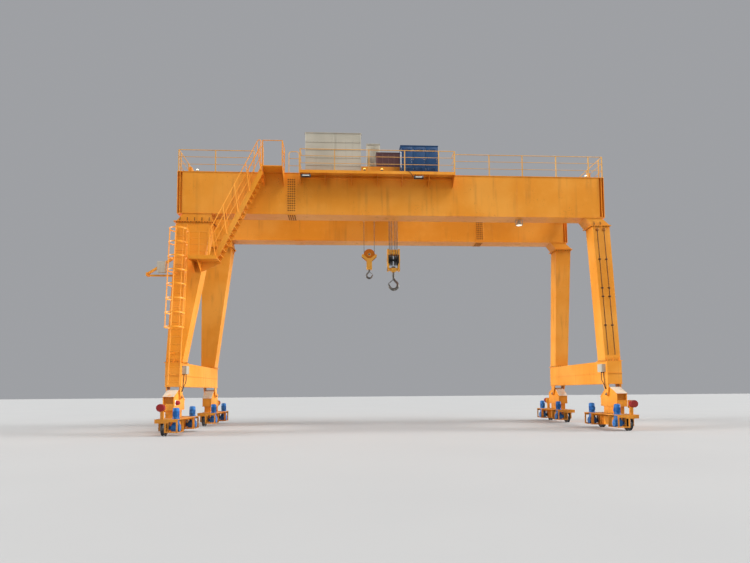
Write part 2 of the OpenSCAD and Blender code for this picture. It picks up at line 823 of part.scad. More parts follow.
module stair_landing() {
    color(orange) {
        block(land_x, land_y, [girder_top - 35, girder_top]);
        for (x = [land_x[0] + 12, land_x[1] - 24])
            yz_plate([[land_y[0] + 10, girder_top - 90], [land_y[0] + 10, girder_top - 5],
                [girder_front + flange_lip, girder_top - 21],
                [girder_front + flange_lip, girder_top - 590], [girder_front, girder_top - 590]],
                [x, x + 12]);
        for (x = [land_x[0] + 20, land_x[1] - 20])
            block([x - 20, x + 20], [land_y[0], land_y[0] + 40], [girder_top - 20, land_rail + 10]);
        bar([land_x[0], land_y[0] + 20, land_rail], [land_x[1], land_y[0] + 20, land_rail], tube_r);
        for (z = [land_rail - 690, land_rail - 350, land_rail])
            bar([land_x[1] - 20, land_y[0] + 20, z], [land_x[1] - 20, girder_front + 60, z],
                z == land_rail ? tube_r : mid_r);
        block([land_x[1] - 40, land_x[1]], [girder_front + 40, girder_front + 80],
            [girder_top, land_rail]);
    }
}

arm_y = [-2450, -2380];
arm_tip = -rail_x - arm_reach;
arm_z = girder_underside - 2620;

// The arm on the front left leg that carries the power collector
module collector_arm() {
    color(orange) {
        xz_plate([[leg_outer(arm_z + 790), arm_z + 790], [leg_outer(arm_z + 670), arm_z + 670],
            [arm_tip + 60, arm_z], [arm_tip, arm_z], [arm_tip, arm_z + 70]], arm_y);
        xz_plate([[leg_outer(arm_z), arm_z], [leg_outer(arm_z - 70), arm_z - 70],
            [arm_tip, arm_z - 70], [arm_tip, arm_z]], arm_y);
        block([arm_tip, arm_tip + 60], arm_y + [-100, 100], [arm_z - 70, arm_z + 70]);
    }
}

// Grey boxes: the collector's box on the arm, and one at each sill's front end
module electrical_boxes() {
    color(beige) {
        block([arm_tip + 480, arm_tip + 800], [arm_y[0] - 200, arm_y[0]], [arm_z + 60, arm_z + 510]);
        for (s = [-1, 1])
            block([s * (rail_x - sill_width / 2 - 85) - 85, s * (rail_x - sill_width / 2 - 85) + 85],
                [-bogie_offset - 30, -bogie_offset + 350], [sill_bottom + 510, sill_bottom + 840]);
    }
}

// Trolley pieces are drawn round the trolley's own middle
module on_trolley() {
    translate([trolley_x, 0, 0])
        children();
}

main_rel = main_x - trolley_x;
aux_rel = aux_x - trolley_x;
cross_x = [-t_half + 90, 60, t_half - 90];

module trolley_frame() {
    color(orange)
        on_trolley()
            difference() {
                union() {
                    for (s = [-1, 1])
                        block([-t_half, t_half], [s * rail_y - 130, s * rail_y + 130],
                            [track_top + 60, deck_z]);
                    for (x = cross_x)
                        block([x - 80, x + 80], [-rail_y + 100, rail_y - 100], [deck_z - 280, deck_z]);
                    for (y = [-460, 460])
                        block([-t_half + 100, 60], [y - 50, y + 50], [deck_z - 200, deck_z]);
                    block([aux_rel + aux_sheave_r - 40, aux_rel + aux_sheave_r + 40], [-460, 460],
                        [deck_z - 160, deck_z - 20]);
                    for (s = [-1, 1])
                        block([-t_half + 20, t_half - 20], [s * 1300 - 330, s * 1300 + 330],
                            [deck_z - 6, deck_z]);
                }
                for (s = [-1, 1], e = [-1, 1])
                    translate([e * (t_half - 280), s * rail_y, t_axle_z]) {
                        y_rod([0, 0, 0], t_wheel_r + 25, 130);
                        y_rod([0, 0, 0], 40.3, 400);
                    }
            }
}

module trolley_wheels() {
    color(dark)
        on_trolley()
            for (s = [-1, 1], e = [-1, 1])
                translate([e * (t_half - 280), s * rail_y, t_axle_z])
                    rotate([90, 0, 0])
                        rotate_extrude($fn = 48)
                            polygon([[0, -150], [40, -150], [40, -62], [t_wheel_r + 20, -56],
                                [t_wheel_r + 18, -42], [t_wheel_r, -36], [t_wheel_r, 36],
                                [t_wheel_r + 18, 42], [t_wheel_r + 20, 56], [40, 62],
                                [40, 150], [0, 150]]);
}

// A bearing stand for a shaft along X at x, y, up to the shaft
module shaft_stand(x, y, w) {
    hull() {
        block([x - 50, x + 50], [y - w, y + w], [deck_z, deck_z + 20]);
        x_rod([x, y, drum_z], 95, 100);
    }
}

// The two rope drums on their shafts
module hoist_drums() {
    x = aux_rel - aux_sheave_r - aux_drum_r;
    x0 = cross_x[1];
    x1 = cross_x[2];
    color(steel)
        on_trolley() {
            translate([x0 + 110, main_drum_y, drum_z])
                rotate([0, 90, 0])
                    difference() {
                        union() {
                            cylinder(r = drum_r - rope_r - seat, h = x1 - x0 - 220, $fn = 64);
                            for (z = [0, x1 - x0 - 250])
                                translate([0, 0, z])
                                    cylinder(r = drum_r + 40, h = 30, $fn = 64);
                        }
                        translate([0, 0, -1])
                            cylinder(r = 20, h = x1 - x0, $fn = 24);
                    }
            x_rod([(x0 + x1) / 2, main_drum_y, drum_z], 50, x1 - x0 + 100);
            y_rod([x, 0, drum_z - 60], aux_drum_r - rope_r - seat, 620);
            for (s = [-1, 1])
                y_rod([x, s * 310, drum_z - 60], aux_drum_r + 30, 24);
            y_rod([x, 0, drum_z - 60], 40, 1000);
        }
}

gear_mid = cross_x[1] - 50 - seat - 115;
fast_y = 1180;

// Stands for the drums and sheaves, the motors, brakes and gear cases
module hoist_drives() {
    x = aux_rel - aux_sheave_r - aux_drum_r;
    color(blue)
        on_trolley() {
            for (c = [cross_x[1], cross_x[2]])
                difference() {
                    shaft_stand(c, main_drum_y, 220);
                    x_rod([c, main_drum_y, drum_z], 50.3, 200);
                }
            for (s = [-1, 1])
                difference() {
                    hull() {
                        block([x - 150, x + 150], [s * 460 - 40, s * 460 + 40], [deck_z, deck_z + 20]);
                        y_rod([x, s * 460, drum_z - 60], 80, 80);
                    }
                    y_rod([x, s * 460, drum_z - 60], 40.3, 200);
                }
            // housing of the frequency gear that stands over the side deck
            block([-220, 840], [-1530, -1120], [deck_z, track_top + 1210]);
            block([-240, 860], [-1545, -1105], [track_top + 1210, track_top + 1235]);
            // gear case on the drum's shaft, with brake and motor on its fast shaft
            hull() {
                x_rod([gear_mid, main_drum_y, drum_z], 235, 230);
                x_rod([gear_mid, fast_y, drum_z - 40], 150, 230);
                block([gear_mid - 115, gear_mid + 115], [main_drum_y - 220, fast_y + 130],
                    [deck_z, deck_z + 20]);
            }
            x_rod([gear_mid - 180, fast_y, drum_z - 40], 45, 160);
            x_rod([gear_mid - 180, fast_y, drum_z - 40], 130, 70);
            x_rod([gear_mid - 510, fast_y, drum_z - 40], 160, 520);
            block([gear_mid - 730, gear_mid - 290], [fast_y - 130, fast_y + 130],
                [deck_z, drum_z - 140]);
            // flange motor of the small drum
            y_rod([x, -560, drum_z - 60], 150, 120);
            y_rod([x, -790, drum_z - 60], 115, 340);
            // upright travel motors on the side decks
            for (s = [-1, 1])
                translate([t_half - 280, s * 1450, deck_z]) {
                    block([-100, 100], [-85, 85], [0, 130]);
                    cylinder(r = 85, h = 400, $fn = 32);
                }
        }
}

module fixed_sheaves() {
    color(dark)
        on_trolley() {
            for (x = sheave_x)
                translate([main_rel + x - 48, upper_y, drum_z])
                    sheave(sheave_r);
            x_rod([(cross_x[1] + cross_x[2]) / 2, upper_y, drum_z], 50, cross_x[2] - cross_x[1] + 100);
            for (c = [cross_x[1], cross_x[2]])
                shaft_stand(c, upper_y, 200);
        }
}

// A grooved sheave with its axis along X, turned round the rope's own pitch radius
module sheave(pitch) {
    g = pitch - rope_r - seat;
    rotate([0, 90, 0])
        rotate_extrude($fn = 60)
            polygon([[48, -30], [90, -30], [90, -16], [g - 35, -16], [pitch + 22, -28],
                [pitch + 22, -22], [g, -rope_r - 1], [g, rope_r + 1], [pitch + 22, 22],
                [pitch + 22, 28], [g - 35, 16], [90, 16], [90, 30], [48, 30]]);
}

module trolley_cabinet() {
    color(beige)
        on_trolley() {
            block([-640, -30], [-1090, -800], [deck_z, track_top + 1810]);
            block([-650, -20], [-1100, -790], [track_top + 1810, track_top + 1835]);
        }
}

// The main hook block: cheeks, rope guard, four sheaves and the swivel crosshead
module main_block() {
    color(orange)
        translate([main_x, 0, 0]) {
            for (s = [-1, 1]) {
                hull() {
                    block([s * 275 - 15, s * 275 + 15], [-170, 170],
                        [main_axle_z + 440, main_axle_z + 500]);
                    x_rod([s * 275, 0, main_axle_z], 190, 30);
                    block([s * 275 - 15, s * 275 + 15], [-110, 110], [cross_z - 100, cross_z - 80]);
                }
                // a flange down each edge of the cheek
                for (e = [-1, 1])
                    block([s * 240 - 30, s * 240 + 30], [e * 185 - 9, e * 185 + 9],
                        [cross_z - 60, main_axle_z + 490]);
                block([s * 240 - 30, s * 240 + 30], [-190, 190], [cross_z - 60, cross_z - 40]);
                block([-275, 275], [s * 160 - 12, s * 160 + 12],
                    [main_axle_z + 240, main_axle_z + 460]);
            }
            x_rod([0, 0, main_axle_z], 47.5, 640);
            difference() {
                union() {
                    x_rod([0, 0, cross_z], 70, 600);
                    block([-135, 135], [-100, 100], [cross_z - 90, cross_z + 50]);
                    y_rod([0, 0, cross_z - 40], 110, 180);
                }
                translate([0, 0, cross_z - 160])
                    cylinder(r = 60 + running, h = 280, $fn = 40);
                block([-125, 125], [-125, 125], [cross_z + 50, cross_z + 120]);
            }
        }
    color(dark)
        translate([main_x, 0, 0])
            for (x = sheave_x)
                translate([x - 48, 0, main_axle_z])
                    sheave(sheave_r);
}

module main_ropes() {
    color(steel)
        for (x = sheave_x, s = [-1, 1])
            translate([main_x + x - 48, s * sheave_r, main_axle_z])
                cylinder(r = rope_r, h = drum_z - main_axle_z, $fn = 8);
}

tip_lean = 22;

// A crane hook in the X-Z plane: point, bowl, neck, shank and the nut that holds it
module hook(bottom, bowl_r, t, shank_r, top, nut_z, nut_r) {
    c = bottom + bowl_r + t;
    start = [bowl_r * cos(125), 0, c + bowl_r * sin(125)];
    neck = [0, 0, c + bowl_r * 1.9];
    translate([0, 0, c]) {
        rotate([90, 0, 0])
            rotate_extrude(angle = 235 - tip_lean, start = 125, $fn = 64)
                translate([bowl_r, 0])
                    circle(r = t, $fn = 32);
        rotate([0, tip_lean, 0])
            translate([bowl_r, 0, 0])
                cylinder(r1 = t, r2 = t * 0.45, h = bowl_r * 0.8, $fn = 32);
    }
    translate(start) {
        sphere(r = t + 1, $fn = 32);
        rotate([0, atan2(-start[0], neck[2] - start[2]), 0])
            cylinder(r1 = t - 1, r2 = t * 0.92, h = norm(neck - start), $fn = 32);
    }
    translate(neck) {
        sphere(r = t * 0.95, $fn = 32);
        cylinder(r = shank_r, h = top - neck[2], $fn = 40);
    }
    translate([0, 0, nut_z])
        cylinder(r = nut_r, h = top - nut_z - 10, $fn = 6);
}

module main_hook() {
    color(dark)
        translate([main_x, 0, 0])
            mirror([1, 0, 0])
                hook(main_hook_height, 200, 70, 60, cross_z + 135, cross_z + 50.3, 105);
}

// The small hook block: two round cheeks drawn in to a neck, one sheave and the crosshead
module aux_block() {
    color(orange)
        translate([aux_x, 0, 0]) {
            for (s = [-1, 1]) {
                y_rod([0, s * 85, aux_axle_z], 258, 12);
                xz_plate([[-125, aux_cross_z - 55], [125, aux_cross_z - 55], [125, aux_axle_z - 300],
                    [350, aux_axle_z - 95], [350, aux_axle_z - 10], [290, aux_axle_z + 10],
                    [70, aux_axle_z - 180], [-70, aux_axle_z - 180], [-290, aux_axle_z + 10],
                    [-350, aux_axle_z - 10], [-350, aux_axle_z - 95], [-125, aux_axle_z - 300]],
                    [s * 98 - 8, s * 98 + 8]);
                y_rod([s * 318, 0, aux_axle_z - 45], 20, 236);
                y_rod([0, s * 98, aux_axle_z], 75, 30);
            }
            y_rod([0, 0, aux_axle_z], 47.5, 250);
            difference() {
                block([-125, 125], [-98, 98], [aux_cross_z - 55, aux_cross_z + 55]);
                translate([0, 0, aux_cross_z - 100])
                    cylinder(r = 38 + running, h = 200, $fn = 40);
            }
            rotate([0, 0, 90])
                translate([0, 0, aux_axle_z])
                    sheave(aux_sheave_r);
        }
}

module aux_ropes() {
    color(steel)
        for (s = [-1, 1])
            translate([aux_x + s * aux_sheave_r, 0, aux_axle_z])
                cylinder(r = rope_r, h = (s < 0 ? drum_z - 60 : deck_z - 160) - aux_axle_z, $fn = 8);
}

module aux_hook() {
    color(dark)
        translate([aux_x, 0, 0])
            hook(aux_hook_height, 130, 46, 38, aux_cross_z + 135, aux_cross_z + 55.3, 66);
}

// Shifts a piece so that the origin is under the middle of the whole part
module placed() {
    translate([centre_shift, 0, 0])
        children();
}

placed() front_girder();
placed() rear_girder();
placed() girder_end_beams();
placed() trolley_rails();
placed() front_left_leg();
placed() rear_left_leg();
placed() front_right_leg();
placed() rear_right_leg();
placed() left_sill_beam();
placed() right_sill_beam();
placed() bogie_brackets();
placed() bracket_walkway();
placed() walkway_railing();
placed() girder_railings();
placed() end_railings();
placed() equipment_house();
placed() control_cabinet();
placed() caged_ladder();
placed() leg_platform();
placed() stair();
placed() stair_handrails();
placed() stair_landing();
placed() collector_arm();
placed() electrical_boxes();
placed() trolley_frame();
placed() trolley_wheels();
placed() hoist_drums();
placed() hoist_drives();
placed() fixed_sheaves();
placed() trolley_cabinet();
placed() main_block();
placed() main_ropes();
placed() main_hook();
placed() aux_block();
placed() aux_ropes();
placed() aux_hook();
placed() front_left_bogie();
placed() rear_left_bogie();
placed() front_right_bogie();
placed() rear_right_bogie();
placed() front_left_outer_wheel();
placed() front_left_inner_wheel();
placed() rear_left_outer_wheel();
placed() rear_left_inner_wheel();
placed() front_right_outer_wheel();
placed() front_right_inner_wheel();
placed() rear_right_outer_wheel();
placed() rear_right_inner_wheel();
placed() front_left_drives();
placed() rear_left_drives();
placed() front_right_drives();
placed() rear_right_drives();
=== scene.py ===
"""Finishes and fine pieces for a double-girder gantry crane on rail bogies.

Lengths are in metres. X runs along the span, -Y is the side with the stair, Z is up.
"""

import json
import math
from collections import namedtuple

import bpy
import numpy as np
from mathutils import Matrix, Vector


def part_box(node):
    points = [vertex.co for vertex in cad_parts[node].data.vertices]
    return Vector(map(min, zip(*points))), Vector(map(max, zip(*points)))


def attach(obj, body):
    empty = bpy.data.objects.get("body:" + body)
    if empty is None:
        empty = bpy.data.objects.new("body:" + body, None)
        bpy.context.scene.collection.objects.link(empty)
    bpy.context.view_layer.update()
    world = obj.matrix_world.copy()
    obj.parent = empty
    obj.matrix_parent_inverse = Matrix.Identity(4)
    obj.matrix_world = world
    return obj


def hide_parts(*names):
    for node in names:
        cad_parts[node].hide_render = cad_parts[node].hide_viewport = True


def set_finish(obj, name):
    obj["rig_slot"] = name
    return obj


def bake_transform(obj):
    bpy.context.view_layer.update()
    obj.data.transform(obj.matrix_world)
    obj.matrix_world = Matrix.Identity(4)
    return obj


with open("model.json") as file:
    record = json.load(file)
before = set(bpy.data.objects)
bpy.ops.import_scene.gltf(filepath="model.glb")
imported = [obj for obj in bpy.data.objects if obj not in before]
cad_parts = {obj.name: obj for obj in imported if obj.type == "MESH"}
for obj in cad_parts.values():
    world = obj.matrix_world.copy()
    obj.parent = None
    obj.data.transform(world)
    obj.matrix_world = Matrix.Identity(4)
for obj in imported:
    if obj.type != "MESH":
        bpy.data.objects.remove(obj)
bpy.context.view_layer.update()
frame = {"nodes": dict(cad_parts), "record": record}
nodes = frame["nodes"]

# The plan: the span's middle and the two runway rails
left_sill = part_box("left_sill_beam")
right_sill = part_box("right_sill_beam")
mid_x = (left_sill[0].x + right_sill[1].x) / 2
rail_left = (left_sill[0].x + left_sill[1].x) / 2
rail_right = (right_sill[0].x + right_sill[1].x) / 2

# The girders: deck, lower flange and the webs' faces; each splice's left edge; the walkway beside them
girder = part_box("front_girder")
deck, under = girder[1].z, girder[0].z + 0.34
web_outer, web_inner = girder[0].y + 0.045, girder[1].y - 0.045
front_splice_x, rear_splice_x = mid_x - 4.64, mid_x + 4.44
SPLICE_WIDTH, PLATE = 0.44, 0.014
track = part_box("trolley_rails")
TRACK_Y = 1.69
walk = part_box("bracket_walkway")
walk_top = deck - 0.115
WALK_LAMP_Z = 10.61

# The trolley, its drums and motor, and the two hook blocks that hang from it
trolley_x = mid_x - 0.53
frame_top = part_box("trolley_frame")[1].z
main_rope_box, aux_rope_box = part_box("main_ropes"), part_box("aux_ropes")
main_axle_z, aux_axle_z = main_rope_box[0].z, aux_rope_box[0].z
main_x = (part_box("main_block")[0].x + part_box("main_block")[1].x) / 2
aux_x = (aux_rope_box[0].x + aux_rope_box[1].x) / 2
drum_z = main_rope_box[1].z
aux_drum_x, aux_drum_z = aux_x - 0.44, drum_z - 0.06
hoist_motor_z = drum_z - 0.04
MAIN_DRUM_Y, HOIST_MOTOR_Y, HOUSING_Y = 0.54, 1.18, -1.53
ROPE_PITCH = 0.026
SHEAVES = (-0.173, -0.073, 0.069, 0.173)

# The legs from foot to head
FOOT_Y, HEAD_Y, LEG_DEPTH = 2.68, 2.045, 0.68
leg_foot_z, leg_head_z = left_sill[1].z + 0.024, under - 0.364

# The bogies: the pins' distance from the middle of each rail, and wheels and motors in a bogie's own frame
BOGIE_OFFSET = 2.95
WHEEL_Y, WHEEL_Z = 1.1, 0.3
MOTOR_X, MOTOR_Z = -0.43, 0.664
corners = {"front_left": (-1, -1), "rear_left": (-1, 1), "front_right": (1, -1), "rear_right": (1, 1)}

# Matrices, row by row: half a turn about Z, and the image on the other side of the crane
HALF_TURN = [[-1, 0, 0], [0, -1, 0], [0, 0, 1]]
MIRROR_Y = [[1, 0, 0], [0, -1, 0], [0, 0, 1]]


class Shape:
    """Points as an (n, 3) array and faces as a list of (m, k) index arrays."""

    def __init__(self, points, faces):
        self.points = np.asarray(points, float).reshape(-1, 3)
        self.faces = [np.asarray(f, int) for f in faces]

    def moved(self, offset):
        """The same shape, shifted."""
        return Shape(self.points + np.asarray(offset, float), self.faces)

    def mapped(self, rows):
        """The same shape with each point multiplied by a 3 x 3 matrix; a mirrored one has its faces turned round."""
        rows = np.asarray(rows, float)
        faces = [f[:, ::-1] for f in self.faces] if np.linalg.det(rows) < 0 else self.faces
        return Shape(self.points @ rows.T, faces)


def joined(shapes):
    """All the shapes as one: each one's indices are raised by the count of points before it."""
    shapes = list(shapes)
    starts = np.cumsum([0] + [len(s.points) for s in shapes[:-1]])
    faces = [f + start for s, start in zip(shapes, starts) for f in s.faces]
    return Shape(np.concatenate([s.points for s in shapes]), faces)


def repeated(shape, places):
    """A copy of the shape at every place: the points of all copies are one broadcast sum."""
    places = np.asarray(places, float).reshape(-1, 3)
    count = len(shape.points)
    points = shape.points[None] + places[:, None]
    steps = np.arange(len(places))[:, None, None] * count
    faces = [(f[None] + steps).reshape(-1, f.shape[1]) for f in shape.faces]
    return Shape(points, faces)


def grid(points, close_u=False, close_v=False):
    """Quads over an (u, v, 3) array of points, wrapped round in u or v where asked."""
    nu, nv = points.shape[:2]
    index = np.arange(nu * nv).reshape(nu, nv)
    if close_u:
        index = np.concatenate([index, index[:1]], 0)
    if close_v:
        index = np.concatenate([index, index[:, :1]], 1)
    quads = np.stack([index[:-1, :-1], index[1:, :-1], index[1:, 1:], index[:-1, 1:]], -1)
    return Shape(points, [quads.reshape(-1, 4)])


def axes_for(direction):
    """Two unit vectors square to the direction and to each other, in right-handed order with it."""
    d = np.asarray(direction, float)
    d = d / np.linalg.norm(d)
    guide = np.array([0.0, 0.0, 1.0]) if abs(d[2]) < 0.9 else np.array([1.0, 0.0, 0.0])
    side = np.cross(guide, d)
    side /= np.linalg.norm(side)
    return side, np.cross(d, side), d


def tube(rings):
    """A solid over an (n, sides, 3) array of rings that turn counter-clockwise about the way they follow each other."""
    count, sides = rings.shape[:2]
    walls = grid(rings, close_v=True)
    rim = np.arange(sides)[None]
    walls.faces = [walls.faces[0][:, ::-1], rim[:, ::-1], (count - 1) * sides + rim]
    return walls


def lathe(profile, centre=(0, 0, 0), axis=(0, 0, 1), sides=24):
    """A profile of (radius, height) pairs, from low to high, turned about an axis and closed at both ends.

    point = centre + r cos(t) side + r sin(t) up + h axis"""
    profile = np.asarray(profile, float)
    side, up, along = axes_for(axis)
    ring = circle(1, sides) @ np.array([side, up])
    return tube(profile[:, 0, None, None] * ring + profile[:, 1, None, None] * along + np.asarray(centre, float))


def sweep(path, section, up=None, closed=False):
    """A section of (side, up) pairs carried along a path: each ring stands square to the path's run there.

    Both ends are closed by one face each, unless the path is a loop."""
    path = np.asarray(path, float)
    section = np.asarray(section, float)
    if closed:
        run = np.roll(path, -1, 0) - np.roll(path, 1, 0)
    else:
        run = np.gradient(path, axis=0)
    run /= np.linalg.norm(run, axis=1)[:, None]
    guide = np.asarray(up if up is not None else axes_for(run[0])[1], float)
    side = np.cross(run, guide)
    side /= np.linalg.norm(side, axis=1)[:, None]
    high = np.cross(side, run)
    points = path[:, None] + section[None, :, :1] * side[:, None] + section[None, :, 1:] * high[:, None]
    swept = grid(points, close_u=closed, close_v=True)
    swept.faces[0] = swept.faces[0][:, ::-1]
    if not closed:
        rim = np.arange(len(section))[None]
        swept.faces += [rim, (len(path) - 1) * len(section) + rim[:, ::-1]]
    return swept


def round_turn(count):
    """Angles spread evenly over a full turn, from 0."""
    return np.arange(count) * 2 * math.pi / count


def circle(radius, sides):
    """A round section: (r cos t, r sin t)."""
    t = round_turn(sides)
    return np.stack([np.cos(t), np.sin(t)], 1) * radius


def box(low, high):
    """A six-sided block between two corners."""
    low, high = np.asarray(low, float), np.asarray(high, float)
    low, high = np.minimum(low, high), np.maximum(low, high)
    corner = np.array([[x, y, z] for z in (0, 1) for y in (0, 1) for x in (0, 1)])
    faces = [[0, 2, 3, 1], [4, 5, 7, 6], [0, 1, 5, 4], [2, 6, 7, 3], [0, 4, 6, 2], [1, 3, 7, 5]]
    return Shape(low + corner * (high - low), [np.array(faces)])


def piece(name, shape, finish, body="crane_frame", smooth=None, bevel=0.0, stands_for=()):
    """Puts a shape into the scene as one mesh that rides on a body.

    Edges that turn by more than the smooth angle, in degrees, are sharp; without an angle none are."""
    mesh = bpy.data.meshes.new(name)
    flat = np.concatenate([f.ravel() for f in shape.faces])
    totals = np.concatenate([np.full(len(f), f.shape[1]) for f in shape.faces])
    mesh.vertices.add(len(shape.points))
    mesh.vertices.foreach_set("co", shape.points.astype(np.float32).ravel())
    mesh.loops.add(len(flat))
    mesh.loops.foreach_set("vertex_index", flat.astype(np.int32))
    mesh.polygons.add(len(totals))
    mesh.polygons.foreach_set("loop_start", (np.cumsum(totals) - totals).astype(np.int32))
    mesh.update(calc_edges=True)
    mesh.validate()
    if smooth is not None:
        mesh.set_sharp_from_angle(angle=math.radians(smooth))
    thing = bpy.data.objects.new(name, mesh)
    bpy.context.scene.collection.objects.link(thing)
    mesh.materials.append(finish.material)
    if bevel:
        edge = thing.modifiers.new("edge", "BEVEL")
        edge.width = bevel
        edge.segments = 2
        edge.limit_method = "ANGLE"
    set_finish(thing, finish.slot)
    if body:
        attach(thing, body)
    if stands_for:
        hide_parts(*stands_for)
    return thing


class Wire:
    """One output of a shader node; sums and products of wires add the Math nodes that work them out."""

    def __init__(self, finish, socket):
        self.finish = finish
        self.socket = socket

    def _math(self, operation, *values):
        return self.finish.node("ShaderNodeMath", {"operation": operation}, *values)

    def __add__(self, other):
        return self._math("ADD", self, other)

    def __sub__(self, other):
        return self._math("SUBTRACT", self, other)

    def __rsub__(self, other):
        return self._math("SUBTRACT", other, self)

    def __mul__(self, other):
        return self._math("MULTIPLY", self, other)

    def __truediv__(self, other):
        return self._math("DIVIDE", self, other)

    __radd__ = __add__
    __rmul__ = __mul__

    def power(self, exponent):
        return self._math("POWER", self, exponent)

    def wave(self):
        return self._math("SINE", self)

    def size(self):
        return self._math("ABSOLUTE", self)

    def step(self, low, high):
        """0 below low, 1 above high and smooth between; high may be the smaller one."""
        return self.finish.node("ShaderNodeMapRange", {"interpolation_type": "SMOOTHSTEP"}, self, low, high, 0.0, 1.0)


class Finish:
    """A material that is put together from wires on the object's own coordinates."""

    def __init__(self, name, slot):
        self.material = bpy.data.materials.new(name)
        self.material.use_nodes = True
        self.tree = self.material.node_tree
        self.shader = self.tree.nodes["Principled BSDF"]
        self.slot = slot
        self.place = self.node("ShaderNodeTexCoord", {}, output="Object")

    def feed(self, socket, value):
        """A wire is linked and any other value set, unless it is None; a colour gets its fourth number."""
        if isinstance(value, Wire):
            self.tree.links.new(value.socket, socket)
        elif value is not None:
            socket.default_value = (*value, 1.0) if socket.type == "RGBA" else value

    def node(self, kind, settings, *values, output=0, **named):
        """A node of that kind: settings first, then values or wires into its sockets by order or by name."""
        made = self.tree.nodes.new(kind)
        for key, value in settings.items():
            setattr(made, key, value)
        for key, value in [*enumerate(values), *named.items()]:
            self.feed(made.inputs[key], value)
        return Wire(self, made.outputs[output])

    def noise(self, scale, detail=3.0, stretch=(1, 1, 1), shift=(0, 0, 0)):
        """Cloudy values round a half; a small stretch on an axis draws the pattern out along it."""
        place = self.node("ShaderNodeMapping", {}, self.place, tuple(shift), None, tuple(stretch))
        return self.node("ShaderNodeTexNoise", {}, Vector=place, Scale=scale, Detail=detail)

    def axis(self, name):
        """One coordinate of the object, in metres."""
        return self.node("ShaderNodeSeparateXYZ", {}, self.place, output=name)

    def facing(self, name):
        """One coordinate of the surface's outward direction."""
        normal = self.node("ShaderNodeNewGeometry", {}, output="Normal")
        return self.node("ShaderNodeSeparateXYZ", {}, normal, output=name)

    def mix(self, low, high, share):
        """The low colour where share is 0 and the high one where it is 1."""
        made = self.tree.nodes.new("ShaderNodeMix")
        made.data_type = "RGBA"
        for index, value in ((0, share), (6, low), (7, high)):
            self.feed(made.inputs[index], value)
        return Wire(self, made.outputs[2])

    def chequer(self):
        """Raised lozenges along both diagonals of the plan: two crossed rows of waves, each cut by the other."""
        x, y = self.axis("X") * 70.0, self.axis("Y") * 70.0
        one = (x + y).wave() * 2.2 - ((x - y) * 0.5).wave().size()
        other = (x - y).wave() * 2.2 - ((x + y) * 0.5).wave().size()
        return one.step(1.2, 1.5) + other.step(1.2, 1.5)

    def relief(self, height, depth):
        """A bump from a height of 0 to 1 that stands for that many metres."""
        bump = self.node("ShaderNodeBump", {}, Strength=1.0, Distance=depth, Height=height)
        self.tree.links.new(bump.socket, self.shader.inputs["Normal"])

    def set(self, **sockets):
        """Values or wires for the shader's own sockets."""
        for key, value in sockets.items():
            self.feed(self.shader.inputs[key.replace("_", " ")], value)


def tone(red, green, blue):
    """A colour as it looks on a screen (0 to 255) turned into light.

    Each share c gives c / 12.92 low down, else ((c + 0.055) / 1.055) ^ 2.4."""
    share = np.array([red, green, blue]) / 255
    light = np.where(share <= 0.04045, share / 12.92, ((share + 0.055) / 1.055) ** 2.4)
    return tuple(float(v) for v in light)


# Colours, and coats of three: the paint or steel itself, where it has faded or worn, and its grime or rust
DARK, RED, BROWN, PRIMER = tone(58, 58, 60), tone(140, 26, 36), tone(96, 66, 68), tone(84, 52, 38)
DUST, PALE_DUST = tone(150, 138, 118), tone(212, 206, 190)
ORANGE, ORANGE_GRIME = tone(228, 144, 38), tone(128, 78, 34)
ORANGE_COAT = (ORANGE, tone(238, 160, 60), ORANGE_GRIME)
BLUE_COAT = (tone(30, 100, 176), tone(54, 122, 190), tone(44, 54, 68))
STEEL_COAT = (tone(116, 114, 112), tone(168, 168, 168), tone(112, 78, 58))


def paint_finish(name, slot, colour, faded, grime, shine=0.42, chips=0.5, patch=None, tread=False):
    """Weathered paint: clouds of fading, grime that runs down, dust on top and a few chips to the primer.

    A patch is a function that gives pairs of a share and another paint's colour from the object's coordinates."""
    f = Finish(name, slot)
    body = f.mix(colour, faded, f.noise(0.45, 4.0).step(0.38, 0.66))
    body = f.mix(body, faded, f.noise(3.0, 5.0, shift=(3, 1, 4)).step(0.5, 0.85) * 0.5)
    for share, other in patch(f) if patch else ():
        body = f.mix(body, other, share)
    runs = f.noise(5.0, 4.0, stretch=(1, 1, 0.07)).step(0.5, 0.78) * f.noise(0.8, 2.0, shift=(7, 2, 1)).step(0.35, 0.7)
    body = f.mix(body, grime, runs * 0.4)
    low = f.axis("Z").step(1.6, 0.1) * f.noise(2.2, 5.0).step(0.32, 0.62)
    body = f.mix(body, grime, low * 0.6)
    dust = f.facing("Z").step(0.55, 0.95) * f.noise(1.6, 5.0, shift=(1, 5, 2)).step(0.3, 0.7)
    body = f.mix(body, DUST, dust * 0.5)
    chip = f.noise(26.0, 3.0).step(0.66, 0.69) * f.noise(1.9, 3.0, shift=(9, 9, 2)).step(0.5, 0.62) * chips
    body = f.mix(body, PRIMER, chip)
    f.set(Base_Color=body, Roughness=shine + runs * 0.2 + dust * 0.3 + chip * 0.3, Specular_IOR_Level=0.22)
    height = f.noise(160.0, 2.0) * 0.3 + f.noise(1.1, 2.0) + chip * -0.4
    f.relief(height + f.chequer() * f.facing("Z").step(0.9, 0.95) * 2.5 if tread else height, 0.0012)
    return f


